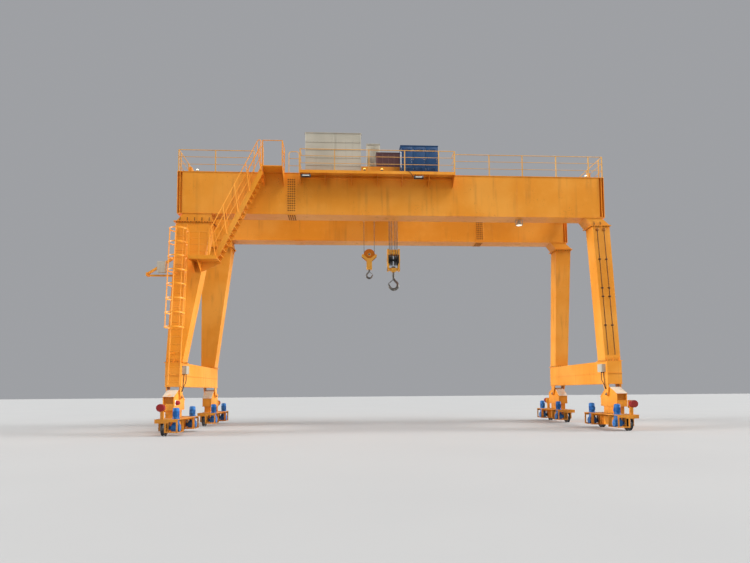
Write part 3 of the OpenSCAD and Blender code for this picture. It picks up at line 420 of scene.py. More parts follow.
def metal_finish(name, slot, colour, worn, rust, shine=0.45, metallic=0.7, paint=None):
    """Dull steel: patches of worn bright metal, clouds of rust and fine pits.

    Paint, if given, is a height and the colour above it."""
    f = Finish(name, slot)
    patch = f.noise(6.0, 5.0).step(0.42, 0.66)
    body = f.mix(colour, worn, patch)
    red = f.noise(3.1, 6.0, shift=(4, 4, 4)).step(0.55, 0.72)
    body = f.mix(body, rust, red * 0.6)
    bare = 1 - red
    if paint:
        painted = f.axis("Z").step(paint[0], paint[0] + 0.001)
        body, bare = f.mix(body, paint[1], painted), bare * (1 - painted)
    f.set(Base_Color=body, Metallic=bare * metallic, Roughness=shine + patch * -0.1 + red * 0.35,
          Specular_IOR_Level=0.5 if metallic else 0.12)
    f.relief(f.noise(90.0, 4.0), 0.0008)
    return f


orange = paint_finish("orange_paint", "orange_paint", *ORANGE_COAT)
blue = paint_finish("blue_paint", "blue_paint", *BLUE_COAT)
navy = paint_finish("navy_paint", "blue_paint", tone(28, 60, 102), tone(42, 76, 116), tone(28, 34, 46))
grey = paint_finish("grey_paint", "grey_paint", tone(172, 166, 150), tone(190, 184, 168), tone(110, 98, 84), chips=0.2)
dark = metal_finish("dark_steel", "dark_steel", DARK, tone(104, 104, 106), tone(86, 58, 44))
steel = metal_finish("bare_steel", "bare_steel", *STEEL_COAT, 0.38, 0.9)

white = paint_finish("white_paint", "grey_paint", tone(222, 222, 218), tone(234, 234, 230), tone(150, 142, 130),
                     chips=0.1)
red = paint_finish("red_rubber", "orange_paint", RED, tone(160, 44, 50), tone(70, 34, 34), 0.6, 0.1)
rubber = paint_finish("black_rubber", "dark_steel", tone(30, 30, 32), tone(44, 44, 46), tone(80, 74, 66), 0.6, 0.0)
fastener = metal_finish("fastener", "orange_paint", tone(138, 80, 28), tone(160, 98, 38), tone(110, 60, 30), 0.6, 0.0)
# Dark rusty steel for bolts, conduits and saddles, and painted shade on the saddle gussets.
rust_and_shade = metal_finish("rusty_steel_and_painted_shade", "dark_steel", tone(66, 42, 32), tone(88, 58, 42), tone(96, 52, 34), 0.65, 0.0)
forged = metal_finish("forged_steel", "dark_steel", tone(92, 90, 86), tone(140, 136, 130), tone(96, 68, 52), 0.42, 0.6)
rope = metal_finish("rope_wire", "bare_steel", tone(72, 68, 62), tone(110, 106, 100), tone(84, 62, 46), 0.5, 0.6)
brown = paint_finish("brown_paint", "blue_paint", BROWN, tone(110, 80, 80), tone(60, 44, 44), chips=0.2)


def lamp_finish(name, colour, strength):
    """Frosted glass, a little cloudy, with a faint even glow."""
    f = Finish(name, "grey_paint")
    f.set(Base_Color=f.mix(colour, (0.9, 0.9, 0.88), f.noise(40.0).step(0.4, 0.7) * 0.3), Roughness=0.3,
          Emission_Color=colour, Emission_Strength=strength)
    return f


glow = lamp_finish("lamp_glass", tone(250, 240, 214), 0.9)
dim = lamp_finish("dim_glass", tone(214, 216, 206), 0.25)
amber = lamp_finish("amber_glass", tone(255, 190, 70), 1.1)


def bogie_patch(f):
    """Dark red pads at the bogies' outer ends, and pale dust on the roofs of their boxes."""
    roof = f.facing("Z").step(0.6, 0.75) * f.axis("Z").step(1.3, 1.34) * f.noise(3.0, 5.0).step(0.2, 0.5)
    pad = f.axis("Y").size().step(4.3845, 4.3855) * f.axis("Z").step(0.91, 0.915)
    return (roof * 0.85, PALE_DUST), (pad, RED)


def sheave_patch(f):
    """Dark sheaves between the main block's cheeks: near the axle and inside the cheeks."""
    y, z = f.axis("Y"), f.axis("Z") - main_axle_z
    near = (y * y + z * z).power(0.5).step(0.281, 0.279)
    return ((near * (f.axis("X") - main_x).size().step(0.251, 0.249), DARK),)


def small_sheave_patch(f):
    """The dark sheave between the small block's cheeks, and painted shade on the cheeks: a deeper orange than the strap
    across them.
    """
    depth, above = f.axis("Y").size(), f.axis("Z").step(7.6, 7.61)
    # The deeper orange share is painted shade on the cheeks behind the strap; the dark share is the sheave.
    return (depth.step(0.0915, 0.091) * above, tone(206, 118, 30)), (depth.step(0.071, 0.069) * above, DARK)


def housing_patch(f):
    """The brown housing among the blue machinery."""
    return ((f.axis("Y").step(-1.0, -1.01) * f.axis("X").step(trolley_x + 0.93, trolley_x + 0.92), BROWN),)


def block_paint(name, patch):
    """The hook blocks' paint, a little yellower than the crane's."""
    return paint_finish(name, "orange_paint", tone(240, 170, 54), tone(244, 184, 82), ORANGE_GRIME, patch=patch)


bogie_orange = paint_finish("bogie_paint", "orange_paint", *ORANGE_COAT, patch=bogie_patch)
by_node = {"control_cabinet": navy, "main_block": block_paint("main_block_paint", sheave_patch),
           "aux_block": block_paint("aux_block_paint", small_sheave_patch), "main_ropes": rope, "aux_ropes": rope,
           "hoist_drives": paint_finish("drives_paint", "blue_paint", *BLUE_COAT, patch=housing_patch)}
by_node |= {corner + "_bogie": bogie_orange for corner in corners}
ochre = paint_finish("ochre_paint", "orange_paint", tone(212, 156, 78), tone(222, 172, 98), ORANGE_GRIME)
by_node |= {name: ochre for name in ("walkway_railing", "girder_railings", "end_railings")}
by_node["trolley_rails"] = metal_finish("rail_steel", "bare_steel", *STEEL_COAT, 0.38, 0.9,
                                        paint=(deck + 0.103, ORANGE))
treads = paint_finish("tread_paint", "orange_paint", *ORANGE_COAT, tread=True)
by_node |= {name: treads for name in ("bracket_walkway", "leg_platform", "stair", "stair_landing", "trolley_frame")}
by_slot = {"orange_paint": orange, "blue_paint": blue, "grey_paint": grey, "dark_steel": dark, "bare_steel": steel}
for row in frame["record"]["subparts"]:
    node = nodes[row["node"]]
    node.data.materials.clear()
    finish = by_node.get(row["node"], by_slot[row["material_slot"]])
    node.data.materials.append(finish.material)
    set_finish(node, row["material_slot"])


def turned(shape, count):
    """Copies of the shape spread evenly round the Z axis: (x cos a - y sin a, x sin a + y cos a, z)."""
    turns = ([[math.cos(a), -math.sin(a), 0], [math.sin(a), math.cos(a), 0], [0, 0, 1]] for a in round_turn(count))
    return joined(shape.mapped(turn) for turn in turns)


def bolt(radius, axis):
    """A hexagon head with a worn top edge on a round washer, its foot at the origin."""
    washer = lathe([(radius * 1.5, 0), (radius * 1.5, radius * 0.22)], (0, 0, 0), axis, 14)
    head = [(radius, radius * 0.2), (radius, radius * 0.95), (radius * 0.82, radius * 1.1)]
    return joined([washer, lathe(head, (0, 0, 0), axis, 6)])


def bolts(radius, axis, places):
    """The same bolt at every place."""
    return repeated(bolt(radius, axis), places)


def mirrored(shape):
    """The shape and its image on the other side of the crane's middle, Y = 0."""
    return joined([shape, shape.mapped(MIRROR_Y)])


def at_corner(shape, corner):
    """A bogie's piece: its own +X points away from the span and +Y to the nearest end."""
    across, along = corners[corner]
    turn = [[across, 0, 0], [0, along, 0], [0, 0, 1]]
    return shape.mapped(turn).moved((rail_right if across > 0 else rail_left, along * BOGIE_OFFSET, 0))


def rounded(points, radius, steps=5):
    """A path through the points, each inner corner cut off by a quadratic curve: (1-t)^2 a + 2t(1-t) p + t^2 b."""
    points = [np.asarray(p, float) for p in points]
    path = [points[0]]
    for before, here, after in zip(points, points[1:], points[2:]):
        reach = min(radius, 0.45 * np.linalg.norm(before - here), 0.45 * np.linalg.norm(after - here))
        a = here + (before - here) / np.linalg.norm(before - here) * reach
        b = here + (after - here) / np.linalg.norm(after - here) * reach
        for t in np.linspace(0, 1, steps):
            path.append((1 - t) ** 2 * a + 2 * t * (1 - t) * here + t * t * b)
    path.append(points[-1])
    return np.array(path)


def pipe(points, radius, bend=0.08, sides=10):
    """A round tube through the points, with rounded bends."""
    return sweep(rounded(points, bend), circle(radius, sides))


def splice_bolts():
    """Bolts of the girders' field splices: four columns on both webs and rows on the plate below.

    The rear girder's splice stands to the right, and has its plates here."""
    columns = 0.21 + 0.0875 * np.array([-1.5, -0.5, 0.5, 1.5])
    rows = np.linspace(under + 0.173, deck - 0.3, 14)
    across = np.linspace(web_outer + 0.06, web_inner - 0.06, 6)
    heads = [bolts(0.021, (0, 0, -1), [(x, y, under - PLATE) for x in columns for y in across])]
    plates = [box((0, girder[0].y + 0.02, under - PLATE), (SPLICE_WIDTH, girder[1].y - 0.02, under + 0.001))]
    for y, side in ((web_outer, -1), (web_inner, 1)):
        face = y + side * PLATE
        heads.append(bolts(0.021, (0, side, 0), [(x, face, z) for x in columns for z in rows]))
        plates.append(box((0, y - side * 0.001, under + 0.06), (SPLICE_WIDTH, face, deck - 0.06)))
    front = joined(heads).moved((front_splice_x, 0, 0))
    rear, rear_plates = (joined(group).mapped(MIRROR_Y).moved((rear_splice_x, 0, 0)) for group in (heads, plates))
    piece("splice_bolts", joined([front, rear]), fastener)
    piece("rear_splice_plates", rear_plates, orange, bevel=0.002)


def leg_flange_bolts():
    """Bolts through the flanges at the head and the foot of each leg, between the gussets."""
    places, out = {1: [], -1: []}, 0.0275
    for x0, x1, y0, z, side, inset in (
        (rail_left - 0.325, rail_left + 0.325, -FOOT_Y, leg_foot_z, 1, 0.06),
        (rail_right - 0.325, rail_right + 0.325, -FOOT_Y, leg_foot_z, 1, 0.06),
        (rail_left - 0.19, rail_left + 1.26, -HEAD_Y, leg_head_z, -1, 0.08),
        (rail_right - 0.375, rail_right + 0.375, -HEAD_Y, leg_head_z, -1, 0.08),
    ):
        half = LEG_DEPTH / 2 + out
        gussets = (x0 + inset, (x0 + x1) / 2, x1 - inset)
        for x in np.arange(x0 + 0.02, x1, 0.115):
            if min(abs(x - g) for g in gussets) > 0.036:
                places[side] += [(x, y0 - half, z), (x, y0 + half, z)]
        for y in np.arange(y0 - LEG_DEPTH / 2 + 0.08, y0 + LEG_DEPTH / 2, 0.13):
            places[side] += [(x0 - out, y, z), (x1 + out, y, z)]
    heads = [bolts(0.0175, (0, 0, side), places[side]) for side in places]
    piece("leg_flange_bolts", mirrored(joined(heads)), rust_and_shade)


def rail_clips():
    """Clips that hold the trolley's rails, each with a stud and its nut, on both sides of the rail's foot."""
    clip = box((-0.045, 0.057, 0.0), (0.045, 0.108, 0.022))
    lip = box((-0.045, 0.03, 0.021), (0.045, 0.085, 0.034))
    pair = mirrored(joined([clip, lip, bolt(0.013, (0, 0, 1)).moved((0, 0.07, 0.034))]))
    places = [(x, -TRACK_Y, deck + 0.0005) for x in np.arange(track[0].x + 0.5, track[1].x - 0.4, 0.6)]
    piece("rail_clips", mirrored(repeated(pair, places)), steel)


def house_details():
    """The house's seam and corner strips, rows of screws along its ribs, and lifting eyes at the roof."""
    low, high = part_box("equipment_house")
    front_y, top = low.y + 0.02, high.z - 0.02
    x0, x1 = low.x + 0.02, high.x - 0.02
    seam = (x0 + x1) / 2
    strips = [box((seam - 0.02, front_y - 0.006, low.z), (seam + 0.02, front_y, top))]
    for x, face in ((x0, 1), (x1, -1)):
        strips.append(box((x - 0.004 * face, front_y - 0.006, low.z), (x + 0.035 * face, front_y + 0.03, top)))
    piece("house_strips", joined(strips), grey, bevel=0.002)
    dome = lathe([(0.009, 0), (0.009, 0.003), (0.005, 0.007)], (0, 0, 0), (0, -1, 0), 8)
    x = np.linspace(x0 + 0.06, x1 - 0.06, 16)
    rows = [low.z + 0.34 * k for k in range(1, 5)]
    piece("house_screws", repeated(dome, [(a, front_y - 0.012, b) for a in x for b in rows]), steel)
    eye = sweep([(x, 0, z) for x, z in circle(0.03, 16)], circle(0.007, 8), up=(0, 1, 0), closed=True)
    places = [(a, b, high.z - 0.035) for a in (low.x + 0.012, high.x - 0.012) for b in (low.y + 0.1, high.y - 0.1)]
    piece("house_eyes", repeated(eye, places), steel, smooth=40)


def louvre(x0, x1, z0, z1, y, count, depth=0.014):
    """Slanting blades one above the other, each a thin wedge that looks down and out towards -Y."""
    step = (z1 - z0) / count
    profile = np.array([(0, 0), (depth, 0.1 * step), (depth, 0.22 * step), (0, 0.85 * step)])
    blade = np.array([[(x, y - d, h) for d, h in profile] for x in (x0, x1)])
    one = grid(blade, close_v=True)
    one.faces += [np.array([[3, 2, 1, 0]]), np.array([[4, 5, 6, 7]])]
    return repeated(one, [(0, 0, z0 + k * step) for k in range(count)])


def handle(place, length=0.14):
    """A swing handle on its round lock, facing -Y."""
    lock = lathe([(0.022, 0), (0.022, 0.012), (0.016, 0.018)], place, (0, -1, 0), 16)
    x, y, z = place
    grip = pipe([(x, y - 0.012, z), (x, y - 0.035, z), (x, y - 0.035, z - length), (x, y - 0.02, z - length)], 0.008)
    return joined([lock, grip])


def hinges(x, y, z0, z1, count):
    """Barrel hinges down a door's edge."""
    barrel = lathe([(0.006, -0.035), (0.009, -0.033), (0.009, 0.033), (0.006, 0.035)], sides=10)
    return repeated(barrel, [(x, y, z) for z in np.linspace(z0, z1, count)])


def cabinet_doors():
    """Three doors on the blue cabinet: raised leaves, louvres low and high, handles and hinges."""
    low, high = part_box("control_cabinet")
    y = low.y + 0.015
    edges = [low.x + 0.03, low.x + 0.55, low.x + 1.09, high.x - 0.03]
    z0, z1 = deck + 0.11, high.z - 0.07
    leaves, blades, fittings = [], [], []
    for a, b in zip(edges, edges[1:]):
        leaves.append(box((a + 0.012, y - 0.007, z0), (b - 0.012, y, z1)))
        for lower in (z0 + 0.08, z1 - 0.2):
            blades.append(louvre(a + 0.1, b - 0.1, lower, lower + 0.12, y - 0.007, 5, 0.01))
        fittings += [handle((b - 0.06, y - 0.007, (z0 + z1) / 2)), hinges(a + 0.014, y - 0.01, z0 + 0.12, z1 - 0.12, 3)]
    piece("cabinet_leaves", joined(leaves), navy, bevel=0.004)
    piece("cabinet_louvres", joined(blades), navy)
    piece("cabinet_fittings", joined(fittings), steel, smooth=35)
    edge = box((low.x + 0.013, low.y + 0.008, deck + 0.3), (low.x + 0.05, low.y + 0.02, deck + 1.0))
    piece("cabinet_edge_strip", edge, white, bevel=0.004)


def trolley_cladding():
    """Louvres and a frame on the front of the trolley's grey cabinet, and panel seams on the brown housing."""
    low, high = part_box("trolley_cabinet")
    y = low.y + 0.01
    blades = louvre(low.x + 0.05, high.x - 0.05, low.z + 0.12, high.z - 0.1, y, 22, 0.012)
    piece("trolley_cabinet_louvres", blades, grey, "trolley")
    x0, x1, z0, z1 = low.x + 0.02, high.x - 0.02, low.z + 0.08, high.z - 0.06
    bars = [box((x, y - 0.016, z0), (x + 0.03, y, z1 - 0.01)) for x in (x0, x1 - 0.03)]
    bars += [box((x0, y - 0.016, z), (x1, y, z + 0.03)) for z in (z0, z1 - 0.03)]
    piece("trolley_cabinet_frame", joined(bars), grey, "trolley", bevel=0.003)
    x0, x1 = trolley_x - 0.21, trolley_x + 0.83
    z0, z1 = frame_top + 0.03, deck + 1.28
    seams = [box((x, HOUSING_Y - 0.006, z0), (x + 0.03, HOUSING_Y, z1)) for x in np.linspace(x0, x1 - 0.03, 5)]
    seams += [box((x0, HOUSING_Y - 0.008, z), (x1, HOUSING_Y, z + 0.025)) for z in (z0, z1 - 0.03)]
    piece("housing_seams", joined(seams), brown, "trolley", bevel=0.003)


def motor_dress(radius, length, fins=28):
    """Cooling fins, a fan cowl and a terminal box for a motor that stands along +Z from the origin."""
    blade = box((radius - 0.004, -0.0022, 0.05), (radius + 0.011, 0.0022, length * 0.74))
    ends = [lathe([(radius + 0.012, z), (radius + 0.012, z + 0.022)], sides=28) for z in (0.02, length * 0.75)]
    cowl = lathe([(radius + 0.008, length * 0.79), (radius + 0.008, length + 0.01), (radius - 0.02, length + 0.045),
                  (0.03, length + 0.055)], sides=28)
    lid = box((-0.06, -radius - 0.065, length * 0.3), (0.06, -radius + 0.01, length * 0.3 + 0.1))
    cover = box((-0.066, -radius - 0.078, length * 0.3 - 0.006), (0.066, -radius - 0.065, length * 0.3 + 0.106))
    return joined([turned(blade, fins), *ends, cowl, lid, cover])


def bogie_motors():
    """Fins, cowls and boxes for a bogie's two motors, and a ring of bolts round the foot of each."""
    dress = motor_dress(0.112, 0.345)
    ends = [dress.moved((MOTOR_X, WHEEL_Y, MOTOR_Z)), dress.mapped(HALF_TURN).moved((MOTOR_X, -WHEEL_Y, MOTOR_Z))]
    ring = [(MOTOR_X + 0.126 * math.cos(a), 0.126 * math.sin(a)) for a in round_turn(8) + 0.2]
    studs = [(x, s * WHEEL_Y + y, MOTOR_Z) for s in (-1, 1) for x, y in ring]
    return joined([*ends, bolts(0.009, (0, 0, 1), studs)])


def bearing_cover():
    """A wheel's stepped bearing cover with six bolts round it, and four larger ones on the plate above."""
    cap = lathe([(0.085, 0), (0.085, 0.012), (0.07, 0.02), (0.03, 0.024)], (0.185, 0, WHEEL_Z), (1, 0, 0), 28)
    ring = [(0.197, 0.074 * math.cos(a), WHEEL_Z + 0.074 * math.sin(a)) for a in round_turn(6)]
    above = [(0.185, y, z) for y in (-0.085, 0.085) for z in (0.46, 0.56)]
    return joined([cap, bolts(0.009, (1, 0, 0), ring), bolts(0.014, (1, 0, 0), above)])


def pin_keepers():
    """On both sides of a bogie's pin, a keeper plate with two bolts and a cap on the pin's end."""
    parts = []
    for s in (-1, 1):
        parts.append(box((s * 0.307, -0.07, 1.40), (s * 0.319, 0.07, 1.435)))
        parts.append(bolts(0.011, (s, 0, 0), [(s * 0.319, y, 1.4175) for y in (-0.05, 0.05)]))
        parts.append(lathe([(0.055, 0), (0.055, 0.008), (0.04, 0.012)], (s * 0.307, 0, 1.45), (s, 0, 0), 24))
    return joined(parts)


def bogie_details():
    """Motor dress, bearing covers, bumper rims, pin keepers and bolts on the four bogies."""
    covers = repeated(bearing_cover(), [(0, s * WHEEL_Y, 0) for s in (-1, 1)])
    on_top = [(x, y, 0.64) for x in (-0.19, 0.19) for y in np.linspace(-0.6, 0.6, 7)]
    at_end = [(x, 1.339, z) for x in (-0.085, 0.085) for z in (0.93, 1.185)]
    fixings = joined([covers, bolts(0.016, (0, 0, 1), on_top), bolts(0.014, (0, 1, 0), at_end)])
    rims = repeated(lathe([(0.1415, 0), (0.1415, 0.006)], (0, 0, 0), (0, 1, 0), 32),
                    [(0, y, 1.07) for y in np.linspace(1.47, 1.6, 4)])
    motors, keepers = bogie_motors(), pin_keepers()
    for name in corners:
        for ending, shape, finish, body in (
            ("_motor_dress", motors, blue, name + "_bogie"),
            ("_bogie_bolts", fixings, fastener, name + "_bogie"),
            ("_bumper_rims", rims, red, name + "_bogie"),
            ("_pin_keepers", keepers, steel, "crane_frame"),
        ):
            piece(name + ending, at_corner(shape, name), finish, body, smooth=30)


def sill_hoses():
    """Two hoses with their glands from each front sill box down to the lug of the bogie's pin."""
    parts = []
    for d in (-0.04, 0.04):
        x = d - 0.394
        parts.append(pipe([(x, -0.1, 2.37), (x, d - 0.08, 2.05), (-0.33, d - 0.06, 1.8 - d), (-0.292, d - 0.05, 1.66)],
                          0.014, 0.12))
        parts.append(lathe([(0.018, -0.036), (0.024, -0.03), (0.024, 0)], (x, -0.1, 2.37), (0, 0, 1), 10))
    for name in ("front_left", "front_right"):
        piece(name + "_sill_hoses", at_corner(joined(parts), name), rubber, smooth=40)


def alarm_lamp():
    """The red alarm lamp on its white base, on the front left bogie."""
    x, y, z = -0.226, 0.45, 1.23
    base = box((x, y - 0.12, z - 0.1), (x + 0.014, y + 0.12, z + 0.1))
    piece("alarm_base", at_corner(base, "front_left"), white, "front_left_bogie", bevel=0.004)
    dome = lathe([(0.09, 0), (0.09, 0.05), (0.075, 0.12), (0.03, 0.15)], (x, y, z), (-1, 0, 0), 24)
    piece("alarm_lamp", at_corner(dome, "front_left"), red, "front_left_bogie", smooth=50)


def on_slim_leg(offsets, z, out):
    """A point that height up the slim front leg's face: its offset from the rail goes from offsets[0] to offsets[1]."""
    share = (z - leg_foot_z) / (leg_head_z - leg_foot_z)
    x = rail_right + offsets[0] * (1 - share) + offsets[1] * share
    return np.array([x, -(FOOT_Y + LEG_DEPTH / 2) + (FOOT_Y - HEAD_Y) * share - out, z])


def leg_conduits():
    """Two conduits down the front of the slim front leg: a gland at the head of each and saddles in pairs."""
    runs, saddles, glands = [], [], []
    top, foot, out = leg_head_z - 0.19, leg_foot_z + 0.24, 0.022
    for offsets in ((-0.19, -0.2), (0.105, 0.1)):
        bends = ((top, 0.0), (top - 0.06, out), (foot + 0.06, out), (foot, 0.0))
        runs.append(pipe([on_slim_leg(offsets, *bend) for bend in bends], 0.013, 0.04))
        head = on_slim_leg(offsets, top + 0.02, 0.0)
        glands.append(lathe([(0.07, 0), (0.07, 0.03), (0.05, 0.045)], head, (0, -1, 0), 20))
        for z in (7.25, 5.97, 5.6, 4.35):
            c = on_slim_leg(offsets, z, 0.0)
            saddles.append(box(c + (-0.055, -0.012, -0.025), c + (0.055, 0.006, 0.025)))
            saddles.append(box(c + (-0.024, -0.042, -0.025), c + (0.024, 0.0, 0.025)))
            saddles += [bolt(0.008, (0, -1, 0)).moved(c + (d, -0.012, 0)) for d in (-0.04, 0.04)]
    piece("leg_conduits", joined(runs), rust_and_shade, smooth=40)
    piece("leg_saddles", joined(saddles), rust_and_shade)
    piece("leg_glands", joined(glands), fastener, smooth=40)


def saddle_gussets():
    """Thin triangles on the outer faces of the girders' saddles, above the bolted flanges, finished dark as painted
    shade for the shadow lines they cast.
    """
    low, thick = leg_head_z + 0.048, 0.01
    fronts = []
    for x in [*(rail_left + np.linspace(-0.05, 1.15, 5)), rail_right - 0.3, rail_right - 0.03]:
        rim = [(girder[0].y + 0.004, low), (web_outer + 0.002, low), (web_outer + 0.002, low + 0.17)]
        sides = np.array([[(x + d, y, z) for y, z in rim] for d in (-thick, thick)])
        wedge = grid(sides, close_v=True)
        wedge.faces += [np.array([[2, 1, 0]]), np.array([[3, 4, 5]])]
        fronts.append(wedge)
    # Painted shade: the gussets take the dark rust-coloured finish in place of the shadow lines they cast.
    piece("saddle_gussets", mirrored(joined(fronts)), rust_and_shade, "crane_frame")


def bead(start, end, radius, away):
    """A weld bead in a corner: a low wavy fillet whose middle leans the given way.

    Its radius is r (1 + 0.18 sin(2 pi s / 14 mm)) at the length s."""
    start, end, away = (np.asarray(v, float) for v in (start, end, away))
    count = min(400, max(4, int(np.linalg.norm(end - start) / 0.0045)))
    s = np.linspace(0, np.linalg.norm(end - start), count)
    path = start + (end - start) * (s / s[-1])[:, None]
    side = np.cross(end - start, away)
    side /= np.linalg.norm(side)
    angles = np.linspace(-1.25, 1.25, 5)
    swell = radius * (1 + 0.18 * np.sin(2 * math.pi * s / 0.014))[:, None, None]
    arc = np.cos(angles)[:, None] * away / np.linalg.norm(away) + np.sin(angles)[:, None] * side
    return grid(path[:, None] + swell * arc)


def weld_beads():
    """Beads where the girders' webs meet their flanges, round the webs' butt joints and along the sills' stiffeners."""
    beads = []
    x0, x1 = mid_x - 8.98, mid_x + 8.98
    for y, out in ((web_outer, -1), (web_inner, 1)):
        for z, way in ((under + 0.02, 1), (deck - 0.02, -1)):
            beads.append(bead((x0, y, z), (x1, y, z), 0.007, (0, out, way)))
        for x in (mid_x - 0.6, mid_x + 5.31):
            beads.append(bead((x, y, under + 0.03), (x, y, deck - 0.03), 0.005, (0, out, 0)))
    sill_y, sill_z = left_sill[0].y + 0.03, left_sill[0].z
    for rail in (rail_left, rail_right):
        for face in (-1, 1):
            x = rail + face * 0.3085
            for z, way in ((sill_z + 0.445, -1), (sill_z + 0.461, 1)):
                beads.append(bead((x, sill_y, z), (x, 0, z), 0.006, (face, 0, way)))
    piece("weld_beads", mirrored(joined(beads)), orange, smooth=60)


def railing_feet():
    """A foot plate with two bolts under each post of the railings on the girders and at their ends."""
    foot = joined([box((-0.055, -0.04, 0.0), (0.055, 0.04, 0.008)),
                   bolts(0.009, (0, 0, 1), [(d, 0, 0.008) for d in (-0.04, 0.04)])])
    edge, end = girder[0].y + 0.065, 9.145
    front = [-end, -7.62, -6.01, 2.58, 4.11, 5.575, 7.076, 8.534, end]
    rear = [-end + k * end / 6 for k in range(13)]
    places = [(mid_x + x, edge, deck) for x in front] + [(mid_x + x, -edge, deck) for x in rear]
    places += [(mid_x + x, y, deck) for x in (-end, end) for y in (edge + 0.3, -0.9, 0.0, 0.9, -edge - 0.3)]
    piece("railing_feet", repeated(foot, places), ochre)


def girder_lamps():
    """A floodlight in its stirrup below the girder, and small round lamps at the girders' ends and on the walkway."""
    case = lathe([(0.03, 0.19), (0.06, 0.185), (0.075, 0.13), (0.14, 0.02), (0.15, 0.0), (0.145, -0.01)], sides=28)
    stirrup = sweep(rounded([(-0.155, 0, 0.03), (-0.155, 0, 0.24), (0.155, 0, 0.24), (0.155, 0, 0.03)], 0.05),
                    [(-0.015, -0.003), (0.015, -0.003), (0.015, 0.003), (-0.015, 0.003)], up=(0, 1, 0))
    lens = lathe([(0.135, -0.006), (0.1, -0.016), (0.02, -0.02)], sides=28)
    spot = (mid_x + 5.49, -2.0, under - 0.24)
    piece("girder_floodlight", joined([case, stirrup]).moved(spot), grey, smooth=35)
    piece("girder_floodlight_glass", lens.moved(spot), glow, smooth=35)
    stub = lathe([(0.03, 0), (0.03, 0.05), (0.05, 0.06), (0.056, 0.09)], sides=20)
    ball = lathe([(0.056, 0.09), (0.054, 0.115), (0.04, 0.14), (0.016, 0.152)], sides=20)
    ends = [(mid_x + x, web_outer + 0.12, deck) for x in (-8.39, 8.46)]
    piece("end_lamp_feet", repeated(stub, ends), grey, smooth=35)
    piece("end_lamps", repeated(ball, ends), glow, smooth=50)
    signals = [(mid_x + x, walk[0].y + 0.1, walk_top) for x in (-1.34, -0.61)]
    piece("signal_feet", repeated(stub, signals), dark, smooth=35)
    piece("signal_lamps", repeated(ball, signals), amber, smooth=50)


def walkway_lamps():
    """Flat lamps on straps under the walkway's edge, and the cable to the right one."""
    hang = walk_top - 0.006 - WALK_LAMP_Z
    straps = [box((d - 0.012, 0.02, 0.04), (d + 0.012, 0.044, hang)) for d in (-0.14, 0.14)]
    case = joined([box((-0.2, -0.03, -0.07), (0.2, 0.09, 0.04)), *straps])
    glass = box((-0.14, -0.036, -0.035), (0.14, -0.028, 0.0))
    below = [(mid_x + x, walk[0].y + 0.05, WALK_LAMP_Z) for x in (-3.78, 0.94)]
    piece("walkway_lamp_cases", repeated(case, below), dark, bevel=0.004)
    piece("walkway_lamps", repeated(glass, below), dim, bevel=0.003)
    x, y, z = mid_x + 0.745, walk[0].y, WALK_LAMP_Z - 0.01
    bends = [(x - 0.3, y - 0.008, deck - 0.06), (x - 0.13, y - 0.008, deck - 0.2), (x - 0.06, y + 0.03, z),
             (x + 0.01, y + 0.05, z)]
    piece("walkway_lamp_cable", pipe(bends, 0.01, 0.06), rubber, smooth=40)


def rope_turns():
    """The rope wound on both drums: a helix, x = pitch * turns and (r cos a, r sin a) about the drum."""
    for name, centre, axis, reach, radius in (
        ("main_rope_turns", (trolley_x + 0.76, MAIN_DRUM_Y, drum_z), (1, 0, 0), 0.545, 0.29),
        ("aux_rope_turns", (aux_drum_x, 0, aux_drum_z), (0, 1, 0), 0.285, 0.2),
    ):
        side, up, along = axes_for(axis)
        turns = int(2 * reach / ROPE_PITCH)
        a = np.linspace(0, turns * 2 * math.pi, turns * 36 + 1)[:, None]
        path = np.array(centre) + radius * (np.cos(a) * side + np.sin(a) * up)
        path += (a / (2 * math.pi) * ROPE_PITCH - reach) * along
        piece(name, sweep(path, circle(0.0118, 7), up=along), rope, "trolley", smooth=60)


def rope_fall(x, y, low, high):
    """One fall of six-strand rope: r = 10.4 mm + 1.5 mm |cos 3a|, turned once every 0.17 m of height."""
    z = np.linspace(low, high, int((high - low) / 0.014))[:, None]
    a = round_turn(24)
    radius = 0.0104 + 0.0015 * np.abs(np.cos(3 * a))
    twist = a + z / 0.17 * 2 * math.pi
    return tube(np.stack([x + radius * np.cos(twist), y + radius * np.sin(twist), np.broadcast_to(z, twist.shape)], -1))


def rope_falls():
    """The falls between the drums, the fixed sheaves and the blocks, baked in place on no body."""
    for name, places in (
        ("main", [(x, y, main_axle_z, drum_z) for x in (main_x + s for s in SHEAVES) for y in (-0.25, 0.25)]),
        ("aux", [(aux_x - 0.24, 0, aux_axle_z, aux_drum_z), (aux_x + 0.24, 0, aux_axle_z, frame_top - 0.16)]),
    ):
        falls = piece(name + "_rope_falls", joined(rope_fall(*p) for p in places), rope, None, smooth=60,
                      stands_for=(name + "_ropes",))
        name + "_block"
        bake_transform(falls)


# Each hook's middle and the way its tip points; radii of bowl, bowl's steel, shank and nut; the nut's height
Hook = namedtuple("Hook", "x side bowl thick shank nut nut_height")
HOOKS = {"main_hook": Hook(main_x, -1, 0.2, 0.07, 0.06, 0.105, 0.085),
         "aux_hook": Hook(aux_x, 1, 0.13, 0.046, 0.038, 0.066, 0.08)}


